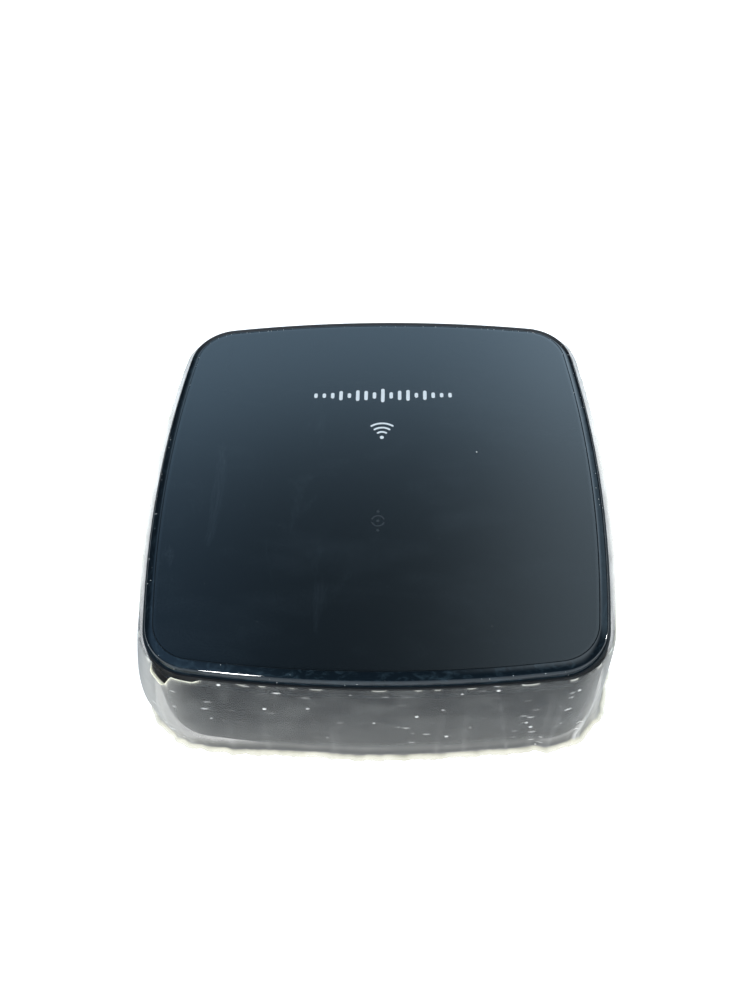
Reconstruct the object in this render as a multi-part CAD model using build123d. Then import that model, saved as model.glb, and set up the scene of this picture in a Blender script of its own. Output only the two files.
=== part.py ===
from build123d import *

import os
from math import atan2, cos, degrees, pi, sin, sqrt

# A compact wireless audio receiver: a low rounded-square case with bowed sides.
#
# Frame: millimetres, +Z up, origin at the centre of the resting face, front towards -Y.
# The sockets and the control button are on the rear, towards +Y.
# Each sub-part is one function, and each is written to parts/NODE.step under its own name.

# ---- driving dimensions ------------------------------------------------------------------------

WIDTH = 86.0  # across the rim, from mid-side to mid-side
HEIGHT = 28.0  # resting face to top panel
SIDE_BOW = 3.8  # how far a mid-side stands out from the line through its ends
CORNER_RADIUS = 10.5  # rim corner, seen from above
WALL = 2.0
FIT_GAP = 0.1  # assembly gap between moulded parts

HALF = WIDTH / 2
SIDE_RADIUS = (HALF**2 + SIDE_BOW**2) / (2 * SIDE_BOW)
SIDE_CENTRE = HALF - SIDE_RADIUS  # centre of a side arc, measured from the middle of the case

# heights of the casing parts
BASE_Z = 0.8
BASE_TOP = 2.8
PARTING_GAP = 0.1
CASE_BOTTOM = BASE_TOP + PARTING_GAP
RIM_BOTTOM = HEIGHT - 1.9
CASE_TOP = RIM_BOTTOM - FIT_GAP
PANEL_THICKNESS = 1.5
ADHESIVE_THICKNESS = 0.2
PANEL_BOTTOM = HEIGHT - PANEL_THICKNESS
SHELF_TOP = PANEL_BOTTOM - ADHESIVE_THICKNESS
SHELF_THICKNESS = 1.0
DECK_TOP = SHELF_TOP - SHELF_THICKNESS - FIT_GAP
DECK_THICKNESS = 1.5
DECK_BOTTOM = DECK_TOP - DECK_THICKNESS

# insets, measured inwards from the rim's outline
CASE_INSET = 0.25
CASE_DRAFT = 1.1  # how much further out the case's foot stands than its top
BASE_INSET = CASE_INSET - CASE_DRAFT + 0.1
CASE_INNER = CASE_INSET + WALL
RIM_WIDTH = 2.45
PANEL_INSET = RIM_WIDTH + FIT_GAP
SHELF_INNER = 6.5

# screws
SCREW_SPOT = 31.5  # case screws, x and y from the middle
BOARD_SPOT = (31.0, 20.0)
BOSS_RADIUS = 3.2
CASE_SCREW_RADIUS = 1.1
BOARD_SCREW_RADIUS = 0.75
THREAD_GAP = 0.05

# main board
BOARD_BOTTOM = 7.0
BOARD_THICKNESS = 1.6
BOARD_TOP = BOARD_BOTTOM + BOARD_THICKNESS
BOARD_INSET = 6.0
BOARD_REAR = 36.4

# rear connector panel and its window in the case
WINDOW_HALF = 27.0
WINDOW_LOW = 5.4
WINDOW_HIGH = 20.0
PLATE_FACE = 40.2
PLATE_STEP = 38.6
PLATE_BACK = 37.4
FLANGE_MARGIN = 3.0

# rear fittings, x position of each
POWER_X = -20.0
AUDIO_X = -6.0
OPTICAL_X = 8.0
BUTTON_X = 21.0

# indicator light guides, y position of each, both on the centre line
NETWORK_Y = 12.2
PAIRING_Y = -9.5
GUIDE_RADIUS = 2.0
BAFFLE_RADIUS = 3.2


# ---- shape helpers -----------------------------------------------------------------------------


def outline_edges(inset=0.0, corner=None):
    """The eight arcs of the case's plan, in order: four bowed sides and four round corners."""
    side_radius = SIDE_RADIUS - inset
    corner_radius = corner or CORNER_RADIUS - inset
    reach = side_radius - corner_radius
    corner_centre = (SIDE_CENTRE + sqrt(2 * reach**2 - SIDE_CENTRE**2)) / 2
    turn = atan2(corner_centre, corner_centre - SIDE_CENTRE)
    end_along = side_radius * sin(turn)
    end_out = SIDE_CENTRE + side_radius * cos(turn)
    corner_mid = corner_centre + corner_radius * cos(pi / 4)
    side = ThreePointArc((end_out, -end_along), (HALF - inset, 0), (end_out, end_along))
    round_corner = ThreePointArc((end_out, end_along), (corner_mid, corner_mid), (end_along, end_out))
    return [Rot(0, 0, 90 * quarter) * arc for quarter in range(4) for arc in (side, round_corner)]


def outline(inset=0.0, corner=None):
    """The case's plan as a face, moved inwards by inset."""
    return make_face(Wire(outline_edges(inset, corner)))


def slab(z0, z1, inset, corner=None):
    """A plate with the case's plan, from z0 to z1."""
    return extrude(Pos(0, 0, z0) * outline(inset, corner), z1 - z0)


def ring(z0, z1, outer, inner, inner_corner=None):
    """A band that follows the case's plan, between two insets."""
    return slab(z0, z1, outer) - slab(z0, z1, inner, inner_corner)


def block(x, y, z):
    """A box given as three (low, high) spans."""
    size = [high - low for low, high in (x, y, z)]
    return Pos((x[0] + x[1]) / 2, (y[0] + y[1]) / 2, (z[0] + z[1]) / 2) * Box(*size)


def about(middle, length):
    """A (low, high) span from its middle and its length."""
    return (middle - length / 2, middle + length / 2)


def upright(radius, x, y, z):
    """A cylinder along Z over the span z."""
    return Pos(x, y, (z[0] + z[1]) / 2) * Cylinder(radius, z[1] - z[0])


def rearward(radius, x, z, y):
    """A cylinder along Y over the span y."""
    return Pos(x, (y[0] + y[1]) / 2, z) * Rot(90, 0, 0) * Cylinder(radius, y[1] - y[0])


def crosswise(radius, y, z, x):
    """A cylinder along X over the span x."""
    return Pos((x[0] + x[1]) / 2, y, z) * Rot(0, 90, 0) * Cylinder(radius, x[1] - x[0])


def edges_at(shape, z):
    """The edges of shape that lie flat at height z."""
    return shape.edges().filter_by_position(Axis.Z, z - 0.001, z + 0.001)


def four_corners(x, y):
    """The four points at plus and minus x and y."""
    return [(sx * x, sy * y) for sx in (-1, 1) for sy in (-1, 1)]


def joined(shapes):
    """Separate solids kept together as one group."""
    return Compound(children=[solid for shape in shapes for solid in shape.solids()])


# ---- casing ------------------------------------------------------------------------------------

PANEL_EDGE_ROUND = 0.25


def top_panel():
    panel = slab(PANEL_BOTTOM, HEIGHT, PANEL_INSET)
    return fillet(edges_at(panel, HEIGHT), PANEL_EDGE_ROUND)


def panel_adhesive():
    return ring(SHELF_TOP, PANEL_BOTTOM, PANEL_INSET + 0.4, SHELF_INNER - 0.2)


# bezel snap hooks, two on each side
HOOK_ALONG = 16.0
HOOK_OUT = 37.9
HOOK_LENGTH = 8.0
HOOK_THICKNESS = 1.2
HOOK_BOTTOM = DECK_BOTTOM - 1.0
BARB_HEIGHT = 0.8
BARB_OUT = 0.6
SLOT_GAP = 0.3


def hook():
    """One hook on the +X side, with its barb under the deck."""
    arm = block(about(HOOK_OUT, HOOK_THICKNESS), about(0, HOOK_LENGTH), (HOOK_BOTTOM, SHELF_TOP - 0.5))
    barb_x = HOOK_OUT + HOOK_THICKNESS / 2
    barb_z = (HOOK_BOTTOM, HOOK_BOTTOM + BARB_HEIGHT)
    return arm + block((barb_x - 0.1, barb_x + BARB_OUT), about(0, HOOK_LENGTH), barb_z)


def hook_slot():
    """The slot in the deck that one hook on the +X side passes through."""
    spans = about(HOOK_OUT, HOOK_THICKNESS + 2 * SLOT_GAP), about(0, HOOK_LENGTH + 2 * SLOT_GAP)
    return block(*spans, (DECK_BOTTOM - 0.5, DECK_TOP + 0.5))


def on_each_side(shape):
    """Copies of a shape on the +X side, two on each of the four sides."""
    spots = [(quarter, side) for quarter in range(4) for side in (-1, 1)]
    return [Rot(0, 0, 90 * quarter) * Pos(0, side * HOOK_ALONG, 0) * shape for quarter, side in spots]


RIM_CROWN_WIDTH = 1.75  # the shallow slope next to the panel
RIM_CROWN_DROP = 0.5
RIM_SHOULDER_DROP = 1.35  # where the rounded shoulder turns upright
RIM_LIP_DROP = 0.05
RIM_UNDERCUT = 0.15


def bezel_profile(plane):
    """Half section of the rim and its shelf. Local x runs inwards from the outline and y is height."""
    crown_start = (RIM_WIDTH, HEIGHT - RIM_LIP_DROP)
    crown_end = (RIM_WIDTH - RIM_CROWN_WIDTH, HEIGHT - RIM_LIP_DROP - RIM_CROWN_DROP)
    shoulder_end = (0, HEIGHT - RIM_SHOULDER_DROP)
    lower_edge = (RIM_UNDERCUT, RIM_BOTTOM)
    foot = RIM_WIDTH - FIT_GAP
    shelf_bottom = SHELF_TOP - SHELF_THICKNESS
    crown = Line(crown_start, crown_end)
    shoulder = TangentArc(crown_end, shoulder_end, tangent=crown % 1)
    rest = Polyline(
        shoulder_end,
        (0, RIM_BOTTOM + 0.4),
        lower_edge,
        (foot, RIM_BOTTOM),
        (foot, shelf_bottom),
        (SHELF_INNER, shelf_bottom),
        (SHELF_INNER, SHELF_TOP),
        (RIM_WIDTH, SHELF_TOP),
        crown_start,
    )
    return plane * make_face(Wire([crown, shoulder, *rest.edges()]))


def swept_round(profile_at, inset=0.0):
    """Turns a section round each arc of the plan in order and joins the eight pieces."""
    solids = []
    for arc in outline_edges(inset):
        start, centre = arc @ 0, arc.arc_center
        inwards = (centre - start).normalized()
        plane = Plane(origin=(start.X, start.Y, 0), x_dir=inwards, z_dir=inwards.cross(Vector(0, 0, 1)))
        turn = degrees(arc.length / arc.radius)
        solids.append(revolve(profile_at(plane), Axis(centre, (0, 0, 1)), turn))
    whole = solids[0]
    for solid in solids[1:]:
        whole = whole + solid
    return whole


def rim_bezel():
    body = swept_round(bezel_profile)
    for one in on_each_side(hook()):
        body = body + one
    return body


BOSS_BOTTOM = 4.2
BOSS_HOLE_TOP = 15.0
RIB_BOTTOM = 9.0


def corner_boss():
    """A screw boss on the +X side, tied to the case's corner by a rib."""
    away = SCREW_SPOT * sqrt(2)
    boss = upright(BOSS_RADIUS, away, 0, (BOSS_BOTTOM, DECK_BOTTOM + 0.2))
    rib = block((away + BOSS_RADIUS - 0.5, away + 7.5), about(0, 1.2), (RIB_BOTTOM, DECK_BOTTOM + 0.2))
    return boss + rib - upright(CASE_SCREW_RADIUS + THREAD_GAP, away, 0, (BOSS_BOTTOM - 1, BOSS_HOLE_TOP))


def case():
    top_outline = Pos(0, 0, CASE_TOP) * outline(CASE_INSET)
    foot_outline = Pos(0, 0, CASE_BOTTOM) * outline(CASE_INSET - CASE_DRAFT)
    body = loft([foot_outline, top_outline]) - slab(CASE_BOTTOM - 1, CASE_TOP + 1, CASE_INNER)
    body = body + slab(DECK_BOTTOM, DECK_TOP, CASE_INNER - 0.5)
    for turn in (45, 135, 225, 315):
        body = body + Rot(0, 0, turn) * corner_boss()
    for slot in on_each_side(hook_slot()):
        body = body - slot
    for y in (NETWORK_Y, PAIRING_Y):
        body = body - upright(GUIDE_RADIUS + 0.15, 0, y, (DECK_BOTTOM - 1, DECK_TOP + 1))
    window = block(about(0, 2 * WINDOW_HALF), (HALF - 8, HALF + 2), (WINDOW_LOW, WINDOW_HIGH))
    return body - window


# base cover, with its foot ring and label
FOOT_OUTER = 5.0
FOOT_INNER = 14.0
FOOT_INNER_CORNER = 6.0
FOOT_THICKNESS = 1.6
FOOT_GAP = 0.15
LABEL_SIZE = (36.0, 24.0)
LABEL_THICKNESS = 0.12
LIP_THICKNESS = 1.2
LIP_TOP = 4.6
HEAD_RADIUS = 2.4
HEAD_HEIGHT = 1.2
HEAD_SEAT = FOOT_THICKNESS + 0.1 + HEAD_HEIGHT
TOWER_TOP = BOSS_BOTTOM - FIT_GAP
POST_RADIUS = 2.6


def base_cover():
    plate = slab(BASE_Z, BASE_TOP, BASE_INSET)
    plate = chamfer(edges_at(plate, BASE_Z), 0.6)
    lip_outer = CASE_INNER + 2 * FIT_GAP
    lip = ring(BASE_TOP - 0.1, LIP_TOP, lip_outer, lip_outer + LIP_THICKNESS)
    body = plate + lip - block(about(0, 64), (PLATE_BACK - 0.2, HALF), (BASE_TOP, LIP_TOP + 1))
    backstop_z = (BASE_TOP - 0.1, BOARD_BOTTOM - 0.3)
    backstop = block(about(0, 50), (PLATE_BACK - 1.4, PLATE_BACK - 0.1), backstop_z)
    body = body + backstop
    for x, y in four_corners(*BOARD_SPOT):
        body = body + upright(POST_RADIUS, x, y, (BASE_TOP - 0.1, BOARD_BOTTOM))
        body = body - upright(BOARD_SCREW_RADIUS + THREAD_GAP, x, y, (BASE_TOP, BOARD_BOTTOM + 1))
    for x, y in four_corners(SCREW_SPOT, SCREW_SPOT):
        body = body + upright(BOSS_RADIUS, x, y, (BASE_TOP - 0.1, TOWER_TOP))
        body = body - upright(HEAD_RADIUS + 0.3, x, y, (BASE_Z - 1, HEAD_SEAT))
        body = body - upright(CASE_SCREW_RADIUS + 0.3, x, y, (BASE_Z, TOWER_TOP + 1))
    groove_insets = (FOOT_OUTER - FOOT_GAP, FOOT_INNER + FOOT_GAP)
    groove = ring(BASE_Z - 1, FOOT_THICKNESS, *groove_insets, FOOT_INNER_CORNER)
    label_x, label_y = (about(0, size + 0.4) for size in LABEL_SIZE)
    recess = block(label_x, label_y, (0, BASE_Z + LABEL_THICKNESS))
    return body - groove - recess


def foot_pad():
    pad = ring(0, FOOT_THICKNESS, FOOT_OUTER, FOOT_INNER, FOOT_INNER_CORNER)
    return fillet(edges_at(pad, 0), 0.4)


def blank_label():
    plate = block(about(0, LABEL_SIZE[0]), about(0, LABEL_SIZE[1]), (BASE_Z, BASE_Z + LABEL_THICKNESS))
    return fillet(plate.edges().filter_by(Axis.Z), 2.0)


def phillips_screw(shank, head, head_height, length):
    """A pan-head screw standing head down, with its head's seat at z 0."""
    body = upright(head, 0, 0, (-head_height, 0))
    body = fillet(edges_at(body, -head_height), head_height * 0.4) + upright(shank, 0, 0, (0, length))
    body = chamfer(edges_at(body, length), shank * 0.5)
    slot = block(about(0, head * 1.1), about(0, head * 0.28), (-head_height - 1, -head_height * 0.4))
    return body - slot - Rot(0, 0, 90) * slot


CASE_SCREW_LENGTH = 9.5
BOARD_SCREW_LENGTH = 4.8


def case_screws():
    screw = phillips_screw(CASE_SCREW_RADIUS, HEAD_RADIUS, HEAD_HEIGHT, CASE_SCREW_LENGTH)
    return joined([Pos(x, y, HEAD_SEAT) * screw for x, y in four_corners(SCREW_SPOT, SCREW_SPOT)])


def board_screws():
    screw = Rot(180, 0, 0) * phillips_screw(BOARD_SCREW_RADIUS, 1.9, 1.0, BOARD_SCREW_LENGTH)
    return joined([Pos(x, y, BOARD_TOP) * screw for x, y in four_corners(*BOARD_SPOT)])


# clear film sleeve round the side, loose at the bottom, with a nick in its top edge at the front left
FILM_THICKNESS = 0.2
FILM_TOP = RIM_BOTTOM - 0.2
FILM_BOTTOM = 0.5
FILM_TOP_INSET = CASE_INSET - 0.01
FILM_FLARE = 2.2
FILM_LOW_CORNER = 14.0
FILM_NICK = (4.0, 2.2)  # width and depth
FILM_WINDOW_MARGIN = 0.8


def film_solid(inset):
    """The space inside the film's outer or inner skin."""
    high = Pos(0, 0, FILM_TOP) * outline(inset)
    low = Pos(0, 0, FILM_BOTTOM) * outline(inset - FILM_FLARE, FILM_LOW_CORNER - inset)
    return loft([low, high])


def side_film():
    band = film_solid(FILM_TOP_INSET - FILM_THICKNESS) - film_solid(FILM_TOP_INSET)
    margin = FILM_WINDOW_MARGIN
    window_z = (WINDOW_LOW - margin, WINDOW_HIGH + margin)
    window = block(about(0, 2 * (WINDOW_HALF + margin)), (HALF - 8, HALF + 5), window_z)
    width, depth = FILM_NICK
    nick_points = [(-width / 2, FILM_TOP), (width / 2, FILM_TOP), (0, FILM_TOP - depth)]
    nick = extrude(Plane.YZ.offset(HALF) * make_face(Polyline(*nick_points, close=True)), 25)
    return band - window - Rot(0, 0, 225) * nick


# ---- rear connector panel ----------------------------------------------------------------------

AUDIO_Z = BOARD_TOP + 3.2
POWER_Z = BOARD_TOP + 1.25
OPTICAL_Z = BOARD_TOP + 5.1
BUTTON_Z = BOARD_TOP + 3.2
SNOUT_RADIUS = 3.0
OPTICAL_SNOUT = 8.6
BUTTON_RADIUS = 2.6


def connector_panel():
    gap = 2 * FIT_GAP
    face_z = (WINDOW_LOW + gap, WINDOW_HIGH - gap)
    face = block(about(0, 2 * (WINDOW_HALF - gap)), (PLATE_STEP, PLATE_FACE), face_z)
    face = fillet(face.edges().filter_by(Axis.Y), 0.6)
    flange_z = (LIP_TOP + gap, WINDOW_HIGH + FLANGE_MARGIN / 2)
    flange = block(about(0, 2 * (WINDOW_HALF + FLANGE_MARGIN)), (PLATE_BACK, PLATE_STEP), flange_z)
    body = face + flange
    through = (PLATE_BACK - 1, PLATE_FACE + 1)
    body = body - rearward(SNOUT_RADIUS + FIT_GAP, AUDIO_X, AUDIO_Z, through)
    body = body - rearward(BUTTON_RADIUS + 0.15, BUTTON_X, BUTTON_Z, through)
    optical = OPTICAL_SNOUT + 2 * FIT_GAP
    body = body - block(about(OPTICAL_X, optical), through, about(OPTICAL_Z, optical))
    return body - block(about(POWER_X, 8.4), through, about(POWER_Z, 3.4))


# ---- indicator lights --------------------------------------------------------------------------

LED_SIZE = (2.0, 1.6, 0.8)
GUIDE_BOTTOM = BOARD_TOP + LED_SIZE[2] + 0.3
GUIDE_TOP = PANEL_BOTTOM - 0.1


def light_guide(y):
    """A clear rod with a collar that rests on the deck."""
    rod = upright(GUIDE_RADIUS, 0, y, (GUIDE_BOTTOM, GUIDE_TOP))
    collar = upright(GUIDE_RADIUS + 0.6, 0, y, (DECK_TOP + 0.05, DECK_TOP + 0.75))
    return rod + collar


def light_baffle():
    """Two black tubes joined by a web, which keep each light to its own guide."""
    bottom, top = BOARD_TOP + 0.2, DECK_BOTTOM - FIT_GAP
    body = block(about(0, 1.6), (PAIRING_Y, NETWORK_Y), (top - 4, top))
    for y in (NETWORK_Y, PAIRING_Y):
        body = body + upright(BAFFLE_RADIUS, 0, y, (bottom, top))
    for y in (NETWORK_Y, PAIRING_Y):
        body = body - upright(GUIDE_RADIUS + 0.2, 0, y, (bottom - 1, top + 1))
    return body


def status_lights():
    spans = [(about(0, LED_SIZE[0]), about(y, LED_SIZE[1])) for y in (NETWORK_Y, PAIRING_Y)]
    return joined([block(x, y, (BOARD_TOP, BOARD_TOP + LED_SIZE[2])) for x, y in spans])


# ---- control button and its switch -------------------------------------------------------------

BUTTON_TRAVEL = 0.3
BUTTON_FACE = PLATE_FACE + 1.0
BUTTON_FLANGE = (36.5, 37.25)
PLUNGER_GAP = 0.05
SWITCH_Y = (31.2, 34.8)
SWITCH_SIZE = 6.2
PLUNGER_RADIUS = 1.55
COLLAR_RADIUS = 2.15


def control_button():
    cap = rearward(BUTTON_RADIUS, BUTTON_X, BUTTON_Z, (BUTTON_FLANGE[0], BUTTON_FACE))
    cap = fillet(cap.edges().sort_by(Axis.Y)[-1], 0.5)
    dish_radius = 12.0
    dish = Pos(BUTTON_X, BUTTON_FACE + dish_radius - 0.25, BUTTON_Z) * Sphere(dish_radius)
    return cap - dish + rearward(BUTTON_RADIUS + 0.9, BUTTON_X, BUTTON_Z, BUTTON_FLANGE)


def control_switch():
    x, z = about(BUTTON_X, SWITCH_SIZE), (BOARD_TOP, BOARD_TOP + SWITCH_SIZE)
    body = block(x, SWITCH_Y, z)
    body = body - rearward(COLLAR_RADIUS + 0.15, BUTTON_X, BUTTON_Z, (SWITCH_Y[0] + 1.1, SWITCH_Y[1] - 0.8))
    body = body - rearward(PLUNGER_RADIUS + 0.1, BUTTON_X, BUTTON_Z, (SWITCH_Y[0] + 2, SWITCH_Y[1] + 1))
    for side in (-1, 1):
        leg_x = BUTTON_X + side * (SWITCH_SIZE / 2 + 0.15)
        body = body + block(about(leg_x, 0.3), about(33.0, 1.2), (BOARD_TOP, BOARD_TOP + 3.5))
    return body


def switch_plunger():
    collar = (SWITCH_Y[0] + 2.0, SWITCH_Y[0] + 2.7)
    stem = rearward(PLUNGER_RADIUS, BUTTON_X, BUTTON_Z, (collar[0], BUTTON_FLANGE[0] - PLUNGER_GAP))
    return stem + rearward(COLLAR_RADIUS, BUTTON_X, BUTTON_Z, collar)


def switch_dome():
    """The snap dome, a shallow sprung cap between the switch's floor and its plunger."""
    floor, height, rim, thickness = SWITCH_Y[0] + 1.15, 0.8, 2.0, 0.1
    radius = (rim**2 + height**2) / (2 * height)
    centre = Pos(BUTTON_X, floor + height - radius, BUTTON_Z)
    cap = centre * Sphere(radius) - centre * Sphere(radius - thickness)
    return cap & rearward(rim + 1, BUTTON_X, BUTTON_Z, (floor, floor + height + 1))


# ---- optical output socket ---------------------------------------------------------------------

OPTICAL_BODY = 9.7
OPTICAL_HEIGHT = 10.2
OPTICAL_FRONT = 39.9
OPTICAL_SHOULDER = 37.3
OPTICAL_BACK = 23.8
OPTICAL_OPENING = 6.1
OPTICAL_LIP = 1.0
CAVITY_HALF = 3.4
CAVITY_CEILING = 4.1
CAVITY_BACK = 29.5
PIVOT_Y = 38.2
PIVOT_Z = OPTICAL_Z + 3.4
PIN_RADIUS = 0.3
KNUCKLE_RADIUS = 0.6
SHUTTER_Y = (38.0, 38.65)
SHUTTER_HALF = 3.2
EMITTER_BACK = 24.6
LEG_PITCH = 1.27


def optical_mouth(size, y):
    """The plug's square mouth, with its two lower corners cut to key the plug."""
    half, key = size / 2, 1.2
    points = [(-half, half), (half, half), (half, key - half), (half - key, -half), (key - half, -half)]
    face = make_face(Polyline(*points, (-half, key - half), close=True))
    plane = Plane(origin=(OPTICAL_X, y[1], OPTICAL_Z), x_dir=(1, 0, 0), z_dir=(0, -1, 0))
    return extrude(plane * face, y[1] - y[0])


def optical_socket():
    body_z = (BOARD_TOP, BOARD_TOP + OPTICAL_HEIGHT)
    body = block(about(OPTICAL_X, OPTICAL_BODY), (OPTICAL_BACK, OPTICAL_SHOULDER), body_z)
    snout_y = (OPTICAL_SHOULDER - 0.1, OPTICAL_FRONT)
    snout = block(about(OPTICAL_X, OPTICAL_SNOUT), snout_y, about(OPTICAL_Z, OPTICAL_SNOUT))
    lip_back = OPTICAL_FRONT - OPTICAL_LIP
    body = body + fillet(snout.edges().filter_by(Axis.Y), 0.5)
    cavity_z = (OPTICAL_Z - CAVITY_HALF, OPTICAL_Z + CAVITY_CEILING)
    body = body - block(about(OPTICAL_X, 2 * CAVITY_HALF), (CAVITY_BACK, lip_back), cavity_z)
    body = body - optical_mouth(OPTICAL_OPENING, (lip_back - 0.1, OPTICAL_FRONT + 0.1))
    body = body - block(about(OPTICAL_X, 5.6), (OPTICAL_BACK - 1, CAVITY_BACK - 1), about(OPTICAL_Z, 6.4))
    body = body - rearward(1.3, OPTICAL_X, OPTICAL_Z, (CAVITY_BACK - 2, CAVITY_BACK + 1))
    return body - crosswise(PIN_RADIUS + 0.02, PIVOT_Y, PIVOT_Z, about(OPTICAL_X, OPTICAL_BODY + 2))


def optical_emitter():
    """The moulded light source at the back of the socket, with its lens facing the plug."""
    body = block(about(OPTICAL_X, 5.4), (EMITTER_BACK, CAVITY_BACK - 1.05), about(OPTICAL_Z, 6.2))
    lens = rearward(1.1, OPTICAL_X, OPTICAL_Z, (CAVITY_BACK - 1.5, CAVITY_BACK - 0.3))
    lens = fillet(lens.edges().sort_by(Axis.Y)[-1], 0.6)
    body = body + lens
    for side in (-1, 0, 1):
        leg_y = (EMITTER_BACK - 1.6, EMITTER_BACK + 0.2)
        body = body + rearward(0.25, OPTICAL_X + side * LEG_PITCH, OPTICAL_Z - 1.5, leg_y)
    return body


def optical_shutter():
    """The sprung flap that closes the mouth, hung on a pin above it."""
    plate = block(about(OPTICAL_X, 2 * SHUTTER_HALF), SHUTTER_Y, (OPTICAL_Z - SHUTTER_HALF, PIVOT_Z))
    plate = plate + crosswise(KNUCKLE_RADIUS, PIVOT_Y, PIVOT_Z, about(OPTICAL_X, 2 * SHUTTER_HALF))
    spring_room = block(about(OPTICAL_X, 2.4), (PIVOT_Y - 1, PIVOT_Y + 1), (PIVOT_Z - 0.8, PIVOT_Z + 1))
    return plate - spring_room - crosswise(PIN_RADIUS + 0.05, PIVOT_Y, PIVOT_Z, about(OPTICAL_X, 10))


def shutter_pin():
    return crosswise(PIN_RADIUS, PIVOT_Y, PIVOT_Z, about(OPTICAL_X, OPTICAL_SNOUT - 0.2))


def shutter_spring():
    """A torsion spring: a coil round the pin, one leg on the flap and one on the ceiling."""
    wire, coil_radius, pitch, turns, steps = 0.09, 0.46, 0.3, 4.75, 8
    left = OPTICAL_X - pitch * turns / 2
    right = left + pitch * turns
    path = [(left, PIVOT_Y - coil_radius, PIVOT_Z - drop) for drop in (2.2, 1.5, 0.8)]
    for n in range(int(turns * steps) + 1):
        angle = 2 * pi * n / steps
        x = left + pitch * n / steps
        path.append((x, PIVOT_Y - coil_radius * cos(angle), PIVOT_Z + coil_radius * sin(angle)))
    path += [(right, PIVOT_Y - 0.8, PIVOT_Z - 0.4), (right, PIVOT_Y - 2.6, PIVOT_Z + 0.55)]
    line = Spline(*path)
    return sweep(Plane(origin=line @ 0, z_dir=line % 0) * Circle(wire), line)


# ---- analogue output socket --------------------------------------------------------------------

AUDIO_BODY = 6.6
AUDIO_BACK = 25.3
AUDIO_SHOULDER = 37.3
AUDIO_SNOUT = 39.2
JACK_RADIUS = 1.85
JACK_END = 26.3
CONTACT_SPOTS = ((28.2, 1), (30.6, -1), (33.0, 1), (35.4, -1))  # distance back, and side of the bore
TOUCH = 1.76  # how near the bore's axis a leaf reaches
LEAF_REACH = 3.6
LEAF = 0.15  # leaf thickness


def audio_socket():
    body = block(about(AUDIO_X, AUDIO_BODY), (AUDIO_BACK, AUDIO_SHOULDER), (BOARD_TOP, BOARD_TOP + 6.4))
    body = chamfer(body.edges().filter_by(Axis.Y).sort_by(Axis.Z)[-2:], 1.0)
    body = body + rearward(SNOUT_RADIUS, AUDIO_X, AUDIO_Z, (AUDIO_SHOULDER - 0.1, AUDIO_SNOUT))
    body = body - rearward(JACK_RADIUS, AUDIO_X, AUDIO_Z, (JACK_END, AUDIO_SNOUT + 1))
    for y, side in CONTACT_SPOTS:
        pocket_x = sorted((AUDIO_X + side * 1.2, AUDIO_X + side * (AUDIO_BODY / 2 + 1)))
        body = body - block(pocket_x, about(y, 1.5), about(AUDIO_Z, 1.2))
    return body


def audio_socket_ring():
    outer = rearward(SNOUT_RADIUS, AUDIO_X, AUDIO_Z, (AUDIO_SNOUT, PLATE_FACE + 0.3))
    outer = fillet(outer.edges().sort_by(Axis.Y)[-1], 0.3)
    return outer - rearward(JACK_RADIUS + 0.2, AUDIO_X, AUDIO_Z, (AUDIO_SNOUT - 1, PLATE_FACE + 2))


def audio_socket_contacts():
    """Four bent spring leaves that touch the plug through the side of the bore."""
    shapes = []
    for y, side in CONTACT_SPOTS:
        outer = [(TOUCH, -0.45), (TOUCH, 0.45), (2.6, 0.6), (LEAF_REACH, 0.6)]
        inner = [(LEAF_REACH, 0.6 - LEAF), (2.7, 0.6 - LEAF), (TOUCH + LEAF, 0.25), (TOUCH + LEAF, -0.45)]
        face = make_face(Polyline(*[(side * out, back) for out, back in outer + inner], close=True))
        leaf = extrude(Pos(AUDIO_X, y, AUDIO_Z - 0.4) * face, 0.8)
        tail_x = sorted((AUDIO_X + side * (LEAF_REACH - LEAF), AUDIO_X + side * LEAF_REACH))
        tail = block(tail_x, (y + 0.05, y + 0.6), (BOARD_TOP, AUDIO_Z - 0.3))
        shapes.append(leaf + tail)
    return joined(shapes)


# ---- power socket ------------------------------------------------------------------------------

SHELL_Y = (33.4, 39.9)
SHELL_WALL = 0.25
TONGUE_Z = (POWER_Z + 0.2, POWER_Z + 0.8)


def power_section(grow):
    """The power socket's section: straight at the top, with its two lower corners cut."""
    wide, narrow, top, shoulder = 3.75 + grow, 2.8 + grow, 1.25 + grow, -0.25
    left = [(-narrow, -top), (-wide, shoulder), (-wide, top)]
    right = [(wide, top), (wide, shoulder), (narrow, -top)]
    return make_face(Polyline(*left, *right, close=True))


def power_prism(grow, y):
    plane = Plane(origin=(POWER_X, y[1], POWER_Z), x_dir=(1, 0, 0), z_dir=(0, -1, 0))
    face = power_section(grow)
    return extrude(plane * fillet(face.vertices(), 0.25), y[1] - y[0])


def power_socket_shell():
    return power_prism(0, SHELL_Y) - power_prism(-SHELL_WALL, (SHELL_Y[0] + 0.3, SHELL_Y[1] + 1))


def power_socket_tongue():
    back_y, back_z = (SHELL_Y[0] + 0.35, SHELL_Y[0] + 1.6), (POWER_Z - 0.2, POWER_Z + 0.95)
    back = block(about(POWER_X, 6.2), back_y, back_z)
    return back + block(about(POWER_X, 3.9), (SHELL_Y[0] + 1.5, SHELL_Y[1] - 0.8), TONGUE_Z)


def power_socket_contacts():
    strip = (TONGUE_Z[0] - 0.12, TONGUE_Z[0])
    spots = [POWER_X + 0.65 * n for n in (-2, -1, 0, 1, 2)]
    return joined([block(about(x, 0.35), (SHELL_Y[0] + 1.7, SHELL_Y[1] - 1.1), strip) for x in spots])


# ---- main board and its components -------------------------------------------------------------

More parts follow.
